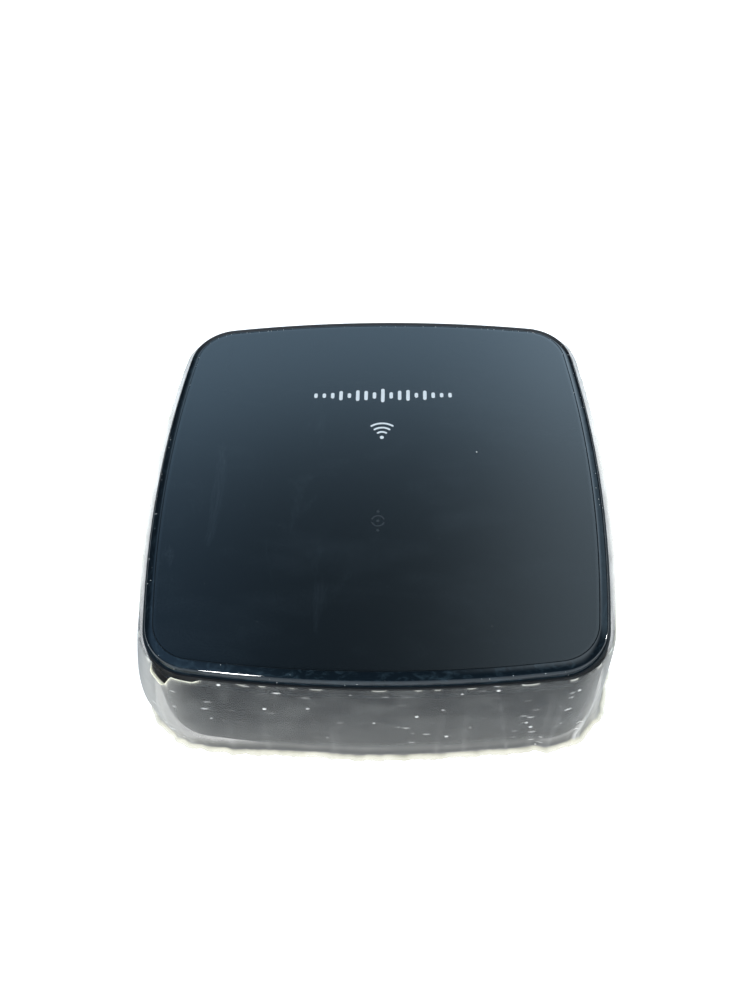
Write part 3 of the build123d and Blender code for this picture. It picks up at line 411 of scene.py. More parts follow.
def film_material():
    """Cloudy clear film: a milky veil, vertical rub lines, specks and dashes, yellowed cut edges, painted
    highlights on its curled top edge and corner fold, and a painted glow near its top.
    """
    m = Nodes("film_clear")
    cloud = m.noise(95.0, 3.0, 0.6)
    mottle = m.noise(170.0, 2.0, 0.5)
    rub = m.noise(900.0, 2.0, 0.5, m.mapped((1.0, 1.0, 0.07)))
    height = m.axis("Z")
    low = m.ramp(height, 0.001, 0.026, 1.0, 0.0)
    spots = m.cells(250.0, m.mapped((1.0, 1.0, 1.5), (0.35, 0.25, 0.0)))
    some_spots = m.ramp(spots["Color"], 0.42, 0.66)
    dots = m.math("MULTIPLY", m.ramp(spots["Distance"], 0.125, 0.05), some_spots)
    slits = m.cells(150.0, m.mapped((1.0, 1.0, 5.0), (0.0, 0.25, 0.0)))
    some_slits = m.ramp(slits["Color"], 0.45, 0.72)
    dashes = m.math("MULTIPLY", m.ramp(slits["Distance"], 0.155, 0.08), some_slits)
    patchy = m.ramp(m.noise(60.0, 1.0), 0.34, 0.44)
    specks = m.math("MULTIPLY", m.math("MAXIMUM", dots, dashes), patchy)
    # Red: whitened tears and creases, and painted highlights on the curled top edge and the corner fold.
    worn_and_highlight, yellow = m.painted("Red"), m.painted("Green")
    milky = m.painted("Blue")
    foot = m.ramp(height, 0.0055, 0.0020)
    veil = m.math("ADD", m.ramp(cloud, 0.3, 0.75, -0.06, 0.08), m.ramp(mottle, 0.35, 0.65, -0.04, 0.04))
    veil = m.math("ADD", veil, m.ramp(low, 0.0, 1.0, 0.34, 0.46))
    thicker = m.math("MAXIMUM", m.math("MULTIPLY", milky, 0.34), m.math("MULTIPLY", foot, 0.44))
    veil = m.math("ADD", veil, thicker)
    # Painted light: where the film stands off the case near its top, it is painted paler and given a
    # glow, standing in for the light that comes through it.
    upper = m.math("MULTIPLY", m.ramp(height, 0.0215, 0.0255), m.painted("Alpha"))
    veil = m.math("MULTIPLY", veil, m.ramp(upper, 0.0, 1.0, 1.0, 0.75))
    marks = m.math("MAXIMUM", m.math("MULTIPLY", specks, 0.40), m.math("MULTIPLY", worn_and_highlight, 0.25))
    facing = m.add("ShaderNodeLayerWeight")
    facing.inputs["Blend"].default_value = 0.5
    slant = m.ramp(facing.outputs["Facing"], 0.80, 1.0)
    total = m.math("ADD", m.math("ADD", veil, marks), m.math("MULTIPLY", slant, 0.10))
    hem = m.ramp(height, 0.0011, 0.0007)
    total = m.math("MULTIPLY", total, m.ramp(hem, 0.0, 1.0, 1.0, 0.62))
    total = m.math("MULTIPLY", total, m.ramp(height, 0.0008, 0.00052, 1.0, 0.65))
    total = m.math("MAXIMUM", total, m.math("MULTIPLY", yellow, 0.95))
    m.set(Alpha=m.math("MINIMUM", total, 0.95))
    grey = m.mix(low, (0.028, 0.031, 0.032), (0.140, 0.143, 0.140))
    grey = m.mix(m.ramp(mottle, 0.40, 0.70, 0.0, 0.5), grey, (0.13, 0.135, 0.13))
    # Painted shade: darker within a few millimetres of the table, holding back the light the glowing
    # table throws on the film.
    grey = m.mix(m.ramp(height, 0.0032, 0.0014), grey, (0.085, 0.087, 0.086))
    grey = m.mix(milky, grey, (0.36, 0.355, 0.33))
    # Specks and marked places turn white; the marked places are partly whitened tears and creases and
    # partly painted highlights on the curled top edge and the corner fold.
    white = m.mix(m.math("MAXIMUM", specks, m.math("MULTIPLY", worn_and_highlight, 0.8)), grey, (0.80, 0.80, 0.78))
    # The hem's pale yellow-grey is the film's lower edge, with a painted faint shadow on the table round
    # it.
    edges = m.mix(hem, white, (0.62, 0.60, 0.46))
    # Painted light: paler colour on the stood-off band near the top.
    edges = m.mix(upper, edges, (0.80, 0.78, 0.60))
    m.set(Base_Color=m.mix(yellow, edges, (0.90, 0.88, 0.68)))
    # Painted glow: the film's emission, on the stood-off band near the top and on the yellowed curls,
    # stands in for light passing through the film.
    glow = m.math("ADD", m.math("MULTIPLY", upper, 0.36), m.math("MULTIPLY", yellow, 0.30))
    m.set(Emission_Color=(0.94, 0.91, 0.76), Emission_Strength=glow)
    m.set(Roughness=m.ramp(cloud, 0.3, 0.7, 0.30, 0.5), IOR=1.45, Specular_IOR_Level=0.36)
    m.bump(rub, 0.000008, 0.3)
    return m.material


def ink(name, colour, rough=0.5):
    """Screen-printed ink with slightly uneven cover."""
    m = Nodes(name)
    cover = m.noise(7000.0, 2.0)
    m.set(Base_Color=m.mix(m.ramp(cover, 0.35, 0.7), colour, tuple(c * 0.86 for c in colour)))
    m.set(Roughness=m.ramp(cover, 0.3, 0.7, rough, rough + 0.1))
    return m.material


def label_material():
    """A silver-grey polyester label with a fine brushed lay."""
    m = Nodes("label_silver_grey")
    lay = m.noise(700.0, 2.0, 0.6, m.mapped((0.03, 1.0, 1.0)))
    m.set(Base_Color=m.mix(m.ramp(lay, 0.3, 0.7), (0.34, 0.35, 0.36), (0.42, 0.43, 0.44)))
    m.set(Metallic=0.6, Roughness=m.ramp(lay, 0.3, 0.7, 0.35, 0.5))
    return m.material


def cad_materials():
    """A material for every slot that a CAD node still shows."""
    black = (0.010, 0.011, 0.012)
    made = {
        "case_black": moulded("case_black", (0.012, 0.013, 0.014), 0.55, 4200.0, 0.000001),
        "foot_rubber_black": moulded("foot_rubber_black", (0.013, 0.013, 0.014), 0.75, 2600.0, 0.00001),
        "adhesive_foam": moulded("adhesive_foam", (0.05, 0.05, 0.05), 0.8, 2500.0, 0.00002),
        "label_silver_grey": label_material(),
        "screw_steel": metal("screw_steel", (0.38, 0.38, 0.39), 0.25),
        "light_guide_clear": clear("light_guide_clear", (0.92, 0.93, 0.94)),
        "baffle_black": moulded("baffle_black", black, 0.6),
        "light_white": ink("light_white", (0.80, 0.78, 0.66), 0.3),
        "button_black": moulded("button_black", (0.016, 0.017, 0.018), 0.38, 5200.0),
        "switch_black": moulded("switch_black", black, 0.45),
        "plunger_ivory": moulded("plunger_ivory", (0.70, 0.66, 0.52), 0.45),
        "spring_steel": metal("spring_steel", (0.50, 0.50, 0.52), 0.22),
        "socket_black": moulded("socket_black", (0.014, 0.014, 0.015), 0.40, 5200.0),
        "emitter_dark_red": clear("emitter_dark_red", (0.30, 0.01, 0.01)),
        "plated_metal": metal("plated_metal", (0.62, 0.62, 0.60), 0.18, (1.0, 1.0, 30.0)),
        "contact_gold": metal("contact_gold", (0.78, 0.56, 0.24), 0.2),
        "board_green": board("board_green"),
        "chip_black": moulded("chip_black", (0.016, 0.016, 0.018), 0.5, 3200.0),
        "shield_tinned": metal("shield_tinned", (0.60, 0.61, 0.61), 0.28, (30.0, 1.0, 1.0)),
        "thermal_grey": moulded("thermal_grey", (0.28, 0.30, 0.33), 0.7),
        "ferrite_grey": moulded("ferrite_grey", (0.07, 0.07, 0.075), 0.55, 2200.0, 0.00001),
        "capacitor_can": metal("capacitor_can", (0.62, 0.63, 0.65), 0.22, (1.0, 1.0, 30.0)),
        "ceramic_tan": moulded("ceramic_tan", (0.42, 0.32, 0.20), 0.45, 3000.0),
        "resistor_black": moulded("resistor_black", (0.02, 0.02, 0.024), 0.35, 3000.0),
        "cable_black": moulded("cable_black", (0.014, 0.014, 0.015), 0.45),
    }
    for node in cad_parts.values():
        for place in node.material_slots:
            name = place.material.name.split(".")[0]
            if name in made:
                place.material = made[name]


# ---- top panel, rim and marks ------------------------------------------------------------------


def top_panel(material):
    """The satin top: a plate with a small round along its upper edge."""
    edge = 0.02 * MM
    lead_in = 0.15 * MM
    round_over = arc((PANEL_INSET + edge, TOP - edge), edge, 180, 90, 6)
    inner = [(PANEL_INSET + step * MM, TOP) for step in (0.6, 1.4, 2.8, 4.6, 6.6)]
    profile = [
        (PANEL_INSET + 6.6 * MM, PANEL_BOTTOM),
        (PANEL_INSET + lead_in, PANEL_BOTTOM),
        (PANEL_INSET, PANEL_BOTTOM + lead_in),
        *round_over,
        *inner,
    ]
    points, normals = plan()
    count = len(points)
    vertices = list(loops(profile, points, normals))
    faces = loop_faces(len(profile), count, False)
    top_first = (len(profile) - 1) * count
    extra, more = filled(vertices[top_first:], top_first, True)
    vertices += extra
    faces += more
    under = [tuple(n for n in reversed(range(count)))]
    piece = make_object("satin_top_panel", vertices, faces + under, material)
    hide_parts("top_panel")
    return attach(piece, "housing")


def rim_bezel(material):
    """The gloss rim: a shallow crown beside the panel, a full shoulder, and a thin lower edge."""
    gap = 0.06 * MM
    inner = PANEL_INSET - gap
    lip_radius = 0.08 * MM
    lip_top = TOP
    crown = (1.10 * MM, lip_top - 0.36 * MM)
    bevel_top = (0.95 * MM, lip_top - 0.47 * MM)
    bevel_end = (0.03 * MM, RIM_BOTTOM + 0.30 * MM)
    lip = arc((inner - lip_radius, lip_top - lip_radius), lip_radius, 0, 72, 5)
    fall = bezier(lip[-1], (1.82 * MM, lip_top - 0.09 * MM), crown, 7)[1:]
    turn = bezier(crown, (1.02 * MM, lip_top - 0.40 * MM), bevel_top, 4)[1:]
    bevel_peak = (0.40 * MM, (bevel_top[1] + bevel_end[1]) / 2 + 0.06 * MM)
    bevel = bezier(bevel_top, bevel_peak, bevel_end, 8)[1:]
    skirt = bezier(bevel_end, (0.0, RIM_BOTTOM + 0.25 * MM), (0.01 * MM, RIM_BOTTOM + 0.05 * MM), 4)[1:]
    shoulder = [*turn, *bevel, *skirt]
    lower_edge = [(0.06 * MM, RIM_BOTTOM), (1.3 * MM, RIM_BOTTOM)]
    ledge = PANEL_BOTTOM - 0.18 * MM
    profile = [(inner, ledge), *lip, *fall, *shoulder, *lower_edge, (1.4 * MM, ledge)]
    points, normals = plan(96, 40)
    faces = loop_faces(len(profile), len(points), True)
    piece = make_object("gloss_rim", loops(profile, points, normals), faces, material)
    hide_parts("rim_bezel")
    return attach(piece, "housing")


def printed_marks(light_ink, dim_ink):
    """Generic marks: a row of sound bars, a network sign, and a faint pairing sign."""
    proud = 0.018 * MM
    low, high = TOP - 0.02 * MM, TOP + proud
    middle = 0.75 * MM
    bars, bar_count, pitch = [], 17, 1.71 * MM
    for n in range(bar_count):
        swell = math.sin(math.pi * (n + 1) / (bar_count + 1))
        beat = 0.62 + 0.38 * math.cos(2.4 * (n - bar_count // 2))
        height = (0.75 + 2.9 * swell * beat) * MM
        bars.append(stadium((middle + (n - bar_count // 2) * pitch, 20.55 * MM), 0.72 * MM, height))
    pieces = [prism("sound_bar_mark", bars, low, high, light_ink)]

    base = (middle - 0.05 * MM, 9.55 * MM)
    waves = [arch(base, radius * MM, 0.40 * MM, 54, 126) for radius in (1.4, 2.5, 3.6)]
    network = waves + [stadium(base, 0.8 * MM, 0.8 * MM)]
    pieces.append(prism("network_mark", network, low, high, light_ink))

    spot = (0.25 * MM, -10.3 * MM)
    ring = [arch(spot, 1.15 * MM, 0.30 * MM, start, start + 140, 30) for start in (20, 200)]
    pair = [stadium((spot[0], spot[1] + rise * MM), 0.6 * MM, 0.6 * MM) for rise in (2.1, 0.0, -2.1)]
    pieces.append(prism("pairing_mark", ring + pair, low, high, dim_ink))
    for piece in pieces:
        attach(piece, "housing")


# Where dust gathers: (degrees from +X, spread in degrees, inset from the rim's outline, flakes).
DUST_BANDS = (
    (128, 7, PANEL_INSET, 15),
    (52, 7, PANEL_INSET, 15),
    (90, 26, PANEL_INSET, 34),
    (20, 22, PANEL_INSET - 1.2 * MM, 34),
    (200, 24, PANEL_INSET - 1.0 * MM, 22),
    (270, 30, PANEL_INSET - 2.0 * MM, 14),
)
PANEL_FLAKES = 26
PANEL_FLAKE_REACH = 34
LARGE_FLAKE = (19.2 * MM, 5.85 * MM, 0.20 * MM)


def dust(material):
    """Tiny flakes of dust: in the groove round the panel, on the rim, and a few on the panel."""
    random.seed(5)
    points, normals = plan(96, 40)
    spots = []
    for angle, spread, inset, number in DUST_BANDS:
        for _ in range(number):
            turn = math.radians(random.gauss(angle, spread))
            near = int(np.argmin(np.abs(points @ (-math.sin(turn), math.cos(turn)))
                                 - 1e3 * ((points @ (math.cos(turn), math.sin(turn))) > 0)))
            wander = 0.03 * MM if inset == PANEL_INSET else 0.7 * MM
            flat = points[near] - normals[near] * (inset + random.uniform(-1, 1) * wander)
            spots.append((flat[0], flat[1], random.uniform(0.035, 0.085) * MM))
    spots.append(LARGE_FLAKE)
    for _ in range(PANEL_FLAKES):
        x = random.uniform(-PANEL_FLAKE_REACH, PANEL_FLAKE_REACH) * MM
        y = random.uniform(-PANEL_FLAKE_REACH, PANEL_FLAKE_REACH) * MM
        spots.append((x, y, random.uniform(0.02, 0.05) * MM))
    vertices, faces = [], []
    for x, y, size in spots:
        depth = HALF - max(abs(x), abs(y))
        rise = TOP - 0.01 * MM if depth > PANEL_INSET - 0.4 * MM else TOP - 0.16 * MM
        first, sides = len(vertices), 6
        for n in range(sides):
            turn = 2 * math.pi * (n + random.uniform(-0.25, 0.25)) / sides
            reach = size * random.uniform(0.6, 1.25)
            vertices.append((x + reach * math.cos(turn), y + reach * math.sin(turn), rise))
        vertices += [(x, y, rise + 0.7 * size), (x, y, rise - 0.3 * size)]
        for n in range(sides):
            after = (n + 1) % sides
            faces.append((first + n, first + after, first + sides))
            faces.append((first + after, first + n, first + sides + 1))
    piece = make_object("dust_flakes", vertices, faces, material, 180.0)
    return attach(piece, "housing")


# ---- the film sleeve ---------------------------------------------------------------------------

# How far the film stands out from the rim's outline: (degrees from +X, mm). FILM_FLARE is at its
# lower edge, FILM_STANDOFF at its upper edge and FILM_BULGE the extra half-way down.
FILM_FLARE = (
    (0, 2.3), (45, 2.0), (90, 1.45), (135, 2.0), (180, 2.4), (212, 2.9),
    (232, 2.1), (252, 1.25), (270, 1.7), (288, 1.25), (305, 1.3), (325, 2.2),
)
FILM_STANDOFF = (
    (0, 0.9), (45, 0.30), (90, 0.08), (135, 0.30), (170, 0.75), (200, 0.8), (212, 0.5),
    (222, 0.2), (250, 0.05), (300, 0.06), (316, 0.3), (328, 0.8), (345, 0.95),
)
FILM_BULGE = (
    (0, 0.1), (180, 0.1), (205, 0.6), (222, 1.6), (240, 0.9), (258, 0.0), (290, 0.0), (315, 0.0),
)
FILM_HEIGHT = FILM_HIGH.z - FILM_LOW.z
FILM_THICKNESS = 0.14 * MM

# The case's side under the film, in mm: its inset at the top and how far it slopes out to its foot.
CASE_TOP_INSET = 0.25
CASE_SLOPE = 1.15
FILM_ROWS = 52


def smooth(value, low, high):
    """0 below low, 1 above high and a soft step between."""
    t = np.clip((value - low) / (high - low), 0.0, 1.0)
    return t * t * (3 - 2 * t)


def around(values, angles):
    """The (degrees, millimetres) values at every angle of a loop, eased between them, in metres."""
    degrees, sizes = zip(*values)
    sharp = np.interp(np.degrees(angles) % 360, degrees, sizes, period=360)
    width = len(angles) // 40
    window = np.hanning(2 * width + 1)
    wrapped = np.concatenate((sharp[-width:], sharp, sharp[:width]))
    return np.convolve(wrapped, window / window.sum(), "valid") * MM


def wave(along, length, phase, swing, swing_length):
    """A ripple along the outline whose spacing wanders."""
    return np.sin(2 * np.pi * along / length + phase + swing * np.sin(2 * np.pi * along / swing_length))


def film_sleeve(material):
    """The loose protective film: a thin sleeve that flares, ripples and creases towards the table."""
    points, normals = plan(128, 52)
    count = len(points)
    steps = np.linalg.norm(np.roll(points, -1, axis=0) - points, axis=1)
    along = np.concatenate(([0.0], np.cumsum(steps)[:-1])) / MM
    total = float(np.sum(steps) / MM)
    angles = np.arctan2(points[:, 1], points[:, 0])
    flare = around(FILM_FLARE, angles)
    standoff = around(FILM_STANDOFF, angles)
    bulge = around(FILM_BULGE, angles)
    cornerness = smooth(np.abs(np.sin(2 * angles)), 0.80, 0.97)

    def place_along(x, y):
        """Where along the outline the point nearest to (x, y) millimetres is."""
        return along[np.argmin(np.hypot(points[:, 0] - x * MM, points[:, 1] - y * MM))]

    def gap_along(spot):
        """Signed distance along the outline from spot, in mm."""
        return (along - spot + total / 2) % total - total / 2

    random.seed(11)
    pleats = []
    for n in range(54):
        corner = random.choice((45, 135, 225, 315))
        angle = math.radians(corner + random.gauss(0, 11))
        spot = place_along(60 * math.cos(angle), 60 * math.sin(angle))
        pleats.append((spot, random.uniform(-3.5, 3.5), random.uniform(0.35, 1.1),
                       random.uniform(0.05, 0.20), random.uniform(0.0, 0.7)))
    for n in range(26):
        spot = random.uniform(0, total)
        pleats.append((spot, random.uniform(-2, 2), random.uniform(0.4, 1.4),
                       random.uniform(0.03, 0.11), random.uniform(0.2, 0.8)))

    nick = place_along(-35.1, -40.0)
    from_nick = gap_along(nick)
    torn = np.where(from_nick < 0, 1 - np.abs(from_nick) / 3.0, 1 - from_nick / 0.9)
    top_edge = FILM_HIGH.z + 0.35 * standoff - 1.9 * MM * np.clip(torn, 0, 1)
    ragged = wave(along, 7.3, 0.4, 1.7, 31.0) + 0.6 * wave(along, 2.9, 1.1, 1.2, 17.0)
    top_edge = top_edge + 0.035 * MM * ragged
    waver = wave(along, 9.1, 2.0, 1.5, 41.0) + 0.5 * wave(along, 3.7, 0.3, 1, 19)
    bottom_edge = FILM_LOW.z + 0.05 * MM * waver
    lip = np.clip(1.6 * wave(along, 4.7, 1.9, 2.6, 27.0) * wave(along, 17.0, 0.7, 1.0, 90.0) - 0.1, 0, 1)
    lip_height = 0.12 * MM * lip
    flap_left = smooth(from_nick, -3.6, -2.4) * (1 - smooth(from_nick, -0.2, 0.3))
    flap_right = smooth(from_nick, -0.1, 0.5) * (1 - smooth(from_nick, 4.5, 6.5))

    uneven = 0.12 * wave(along, 5.3, 0.9, 1.8, 29.0) + 0.06 * wave(along, 1.9, 0.1, 1.5, 11.0)
    hem_width = MM * (1.35 + uneven)
    # Where the film stands well off the case; the material paints it as lit, with a painted glow.
    lit = smooth(standoff, 0.35 * MM, 0.80 * MM)
    fold = place_along(38.9, -37.8)
    cloudy = place_along(-38.5, -37.5)
    haze = np.exp(-((gap_along(cloudy) / 5.5) ** 2)) + 0.9 * np.exp(-((gap_along(fold + 2.5) / 5.5) ** 2))
    outer, wear_and_light = [], []
    for row in range(FILM_ROWS + 1):
        share = row / FILM_ROWS
        t = share - 0.86 * math.sin(2 * math.pi * share) / (2 * math.pi)
        z = top_edge + (bottom_edge - top_edge) * t
        depth = (FILM_HIGH.z - z) / FILM_HEIGHT
        offset = standoff + (flare - standoff) * np.clip(depth, 0, 1) ** (1.2 - 0.7 * cornerness)
        offset = offset + bulge * np.sin(np.pi * np.clip(depth, 0, 1) ** 1.3)
        ripple = 0.10 * wave(along, 12.7, 0.2, 1.3, 37.0) + 0.05 * wave(along, 4.9, 1.0, 2.0, 23.0)
        offset = offset + MM * depth * ripple * (0.6 + 0.8 * cornerness)
        crease = np.zeros(count)
        for spot, lean, width, height, start in pleats:
            ridge = np.exp(-(((gap_along(spot) - lean * depth) / width) ** 2))
            grow = smooth(np.array(t), start, min(start + 0.35, 1.0))
            offset = offset + MM * height * ridge * grow
            crease = np.maximum(crease, ridge**3 * grow * height / 0.34)
        bend = -3.52 * np.clip(depth, 0, 1) ** 2.2
        spine = np.exp(-(((gap_along(fold) - bend) / 0.26) ** 2))
        second = np.exp(-(((gap_along(fold) - bend - 2.6 + 2.0 * depth) / 0.45) ** 2))
        second = second * smooth(np.array(t), 0.3, 0.6)
        offset = offset + MM * (0.34 * spine + 0.14 * second) * smooth(np.array(t), 0.02, 0.3)
        edge = math.exp(-t * FILM_HEIGHT / (0.24 * MM))
        offset = offset + lip_height * edge
        tear = math.exp(-t * FILM_HEIGHT / (0.75 * MM))
        offset = offset + MM * (flap_left * tear + 0.5 * flap_right * tear**2.5)
        hem = math.exp(-(1 - t) * FILM_HEIGHT / (0.45 * MM))
        offset = offset + hem_width * hem
        case_side = (CASE_SLOPE * np.clip(depth, 0, 1) - CASE_TOP_INSET) * MM
        offset = np.maximum(offset, case_side + FILM_THICKNESS + 0.15 * MM)
        flat = points + normals * offset[:, None]
        outer.append(np.column_stack((flat, z)))
        # The painted colour: Red is whitened tears and creases, and also painted highlights on the top
        # edge's curls and along the corner fold; Green is the yellowed curls; Blue is haze; Alpha is
        # where the film stands off the case, painted as lit.
        red = np.maximum.reduce([
            1.0 * lip * edge, 0.22 * crease, 0.60 * spine * smooth(np.array(t), 0.03, 0.2),
            0.3 * second, flap_left * tear, flap_right * tear**2.5,
        ])
        green = np.clip(1.6 * (flap_left * tear + flap_right * tear**2.5) + 0.4 * lip * edge, 0, 1)
        wear_and_light.append(np.column_stack((np.clip(red, 0, 1), green, haze, lit)))

    outer = np.array(outer)
    wear_and_light = np.array(wear_and_light)
    cut_window(outer)
    inner = outer.copy()
    inner[:, :, :2] -= normals[None, :, :] * FILM_THICKNESS
    rows = FILM_ROWS + 1
    gone = window_faces(outer)

    def skin(row, column, layer):
        return layer * rows * count + row * count + column % count

    faces = []
    for row in range(FILM_ROWS):
        for column in range(count):
            if (row, column) in gone:
                continue
            quad = [(row, column), (row, column + 1), (row + 1, column + 1), (row + 1, column)]
            faces.append(tuple(skin(r, c, 0) for r, c in reversed(quad)))
            faces.append(tuple(skin(r, c, 1) for r, c in quad))
            beside = ((row - 1, column), (row, column + 1), (row + 1, column), (row, column - 1))
            for side, (r, c) in enumerate(beside):
                if 0 <= r < FILM_ROWS and (r, c % count) not in gone:
                    continue
                a, b = quad[side], quad[(side + 1) % 4]
                faces.append((skin(*a, 0), skin(*b, 0), skin(*b, 1), skin(*a, 1)))
    vertices = np.concatenate((outer.reshape(-1, 3), inner.reshape(-1, 3)))
    colours = np.concatenate((wear_and_light.reshape(-1, 4), wear_and_light.reshape(-1, 4)))
    used = np.unique(np.array([n for face in faces for n in face]))
    renamed = np.full(len(vertices), -1)
    renamed[used] = np.arange(len(used))
    faces = [tuple(int(renamed[n]) for n in face) for face in faces]
    piece = make_object("protective_film", vertices[used], faces, material, 50.0)
    paint = piece.data.color_attributes.new("wear_and_light", "FLOAT_COLOR", "POINT")
    paint.data.foreach_set("color", colours[used].astype(np.float32).ravel())
    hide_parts("side_film")
    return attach(piece, "housing")


# The opening in the film round the connectors, a little wider than the case's own window.
WINDOW_HALF = 28.2 * MM
WINDOW_LOW = 4.2 * MM
WINDOW_HIGH = 21.2 * MM
WINDOW_CORNER = 2.0 * MM


def inside_window(spot):
    """How far a point on the film is inside the connector opening; negative outside it."""
    if spot[1] < 0:
        return -1.0
    across = abs(spot[0]) - (WINDOW_HALF - WINDOW_CORNER)
    middle = (WINDOW_LOW + WINDOW_HIGH) / 2
    upright = abs(spot[2] - middle) - ((WINDOW_HIGH - WINDOW_LOW) / 2 - WINDOW_CORNER)
    outside = math.hypot(max(across, 0.0), max(upright, 0.0))
    return WINDOW_CORNER - outside - min(max(across, upright), 0.0)


def window_faces(grid):
    """The quads of the grid whose middle lies in the connector opening."""
    rows, count = grid.shape[0] - 1, grid.shape[1]
    gone = set()
    for row in range(rows):
        for column in range(count):
            after = (column + 1) % count
            upper, lower = grid[row], grid[row + 1]
            middle = (upper[column] + upper[after] + lower[column] + lower[after]) / 4
            if middle[1] > 0 and inside_window(middle) > 0:
                gone.add((row, column))
    return gone


def cut_window(grid):
    """Moves the grid points along the opening's edge onto its outline."""
    gone = window_faces(grid)
    rows, count = grid.shape[0] - 1, grid.shape[1]
    edge = set()
    for row, column in gone:
        for r, c in ((row - 1, column), (row + 1, column), (row, column - 1), (row, column + 1)):
            if (r, c % count) in gone:
                continue
            for i, j in ((0, 0), (0, 1), (1, 0), (1, 1)):
                corner = (row + i, (column + j) % count)
                beside = [(corner[0] - k, (corner[1] - n) % count) for k in (0, 1) for n in (0, 1)]
                if not all(place in gone for place in beside):
                    edge.add(corner)
    middle = (WINDOW_LOW + WINDOW_HIGH) / 2
    half_high = (WINDOW_HIGH - WINDOW_LOW) / 2
    for row, column in edge:
        x, y, z = grid[row, column]
        across, upright = abs(x), abs(z - middle)
        core = (WINDOW_HALF - WINDOW_CORNER, half_high - WINDOW_CORNER)
        if across > core[0] and upright > core[1]:
            reach = math.hypot(across - core[0], upright - core[1])
            across = core[0] + (across - core[0]) * WINDOW_CORNER / reach
            upright = core[1] + (upright - core[1]) * WINDOW_CORNER / reach
        elif WINDOW_HALF - across < half_high - upright:
            across = WINDOW_HALF
        else:
            upright = half_high
        grid[row, column, 0] = math.copysign(across, x)
        grid[row, column, 2] = middle + math.copysign(upright, z - middle)


# ---- connector side ----------------------------------------------------------------------------


def connector_signs(light_ink):
    """Plain signs printed on the connector plate: power, analogue sound, optical sound, pairing."""
    height = 18.3 * MM

    def on_plate(across, up, rise):
        return (across, PLATE_FACE + rise, up)

    def column_of(node):
        low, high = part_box(node)
        return (low.x + high.x) / 2

    line, size = 0.22 * MM, 0.75 * MM
    x = column_of("power_socket_shell")
    power = [arch((x, height), size, line, -240, 60), stadium((x, height + 0.5 * MM), line, 0.9 * MM)]
    x = column_of("audio_socket")
    phones = [arch((x, height - 0.1 * MM), size, line, start, start + 91) for start in (0, 89)]
    for side in (-size, size):
        phones.append(stadium((x + side, height - 0.45 * MM), 0.42 * MM, 0.8 * MM))
    x = column_of("optical_socket")
    optical = [stadium((x, height), 0.5 * MM, 0.5 * MM)]
    for n in range(8):
        angle = math.radians(45 * n)
        spot = (x + size * math.cos(angle), height + size * math.sin(angle))
        optical.append(stadium(spot, line, line))
    x = column_of("control_button")
    base = (x, height - 0.6 * MM)
    pair = [arch(base, radius * MM, line, 50, 130) for radius in (0.7, 1.3)]
    pair.append(stadium(base, 0.36 * MM, 0.36 * MM))
    outlines = [list(reversed(shape)) for shape in power + phones + optical + pair]
    piece = prism("connector_signs", outlines, -0.02 * MM, 0.015 * MM, light_ink, on_plate)
    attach(piece, "housing")


# ---- table top, lights and camera --------------------------------------------------------------


# The table's own glow, how much more of it the camera sees, and where it fades in front (Y).
FLOOR_GLOW = 0.80
FLOOR_SEEN = 1.6
FLOOR_FADE = (-0.32, -0.10)


def floor():
    """A wide pale table top."""
    m = Nodes("floor_white")
    shade = m.mix(m.ramp(m.noise(3.0, 2.0), 0.3, 0.7), (0.90, 0.90, 0.89), (0.93, 0.93, 0.92))
    m.set(Base_Color=shade, Roughness=0.7, Specular_IOR_Level=0.2)
    seen = m.add("ShaderNodeLightPath").outputs["Is Camera Ray"]
    fading = m.ramp(m.axis("Y"), *FLOOR_FADE, 0.05, 1.0)
    near = m.math("MAXIMUM", fading, m.math("MULTIPLY", seen, FLOOR_SEEN))
    m.set(Emission_Color=shade, Emission_Strength=m.math("MULTIPLY", near, FLOOR_GLOW))
    reach = 3.0
    corners = [(-reach, -reach, 0), (reach, -reach, 0), (reach, reach, 0), (-reach, reach, 0)]
    make_object("floor", corners, [(0, 1, 2, 3)], m.material)


# The surround is a sum of soft-edged areas: (colour, {axis: (from, fully on by, off from, gone by)}).
# The axes are those of the direction looked in, so Z is the sine of the height above the horizon.
BEHIND = (0.15, 0.40, 2, 3)
BACK_WALL = (0.42, 0.54, 0.71, 0.79)
ROOM_GLOW = (
    ((1.75, 2.55, 3.30), {"Y": BEHIND, "X": (-0.60, -0.25, 0.32, 0.62), "Z": BACK_WALL}),
    ((0.62, 0.90, 1.12), {"Y": BEHIND, "X": (0.32, 0.62, 2, 3), "Z": BACK_WALL}),
    ((1.75, 2.05, 2.25),
     {"X": (0.03, 0.24, 0.38, 0.58), "Z": (0.40, 0.55, 2, 3), "Y": (-0.2, 0.2, 2, 3)}),
    ((0.28, 0.50, 0.80), {"X": (-3, -2, -0.34, -0.12), "Z": (0.60, 0.75, 2, 3)}),
    ((0.30, 0.37, 0.44), {"Y": (-3, -2, -0.60, -0.15), "Z": (-0.2, 0.0, 0.40, 0.60)}),
    ((0.40, 0.42, 0.45), {"Y": (0.70, 0.95, 2, 3), "Z": (-0.2, 0.0, 0.45, 0.65)}),
)
BACKDROP = (0.93, 0.94, 0.95)
ROOM_DARK = (0.045, 0.050, 0.060)


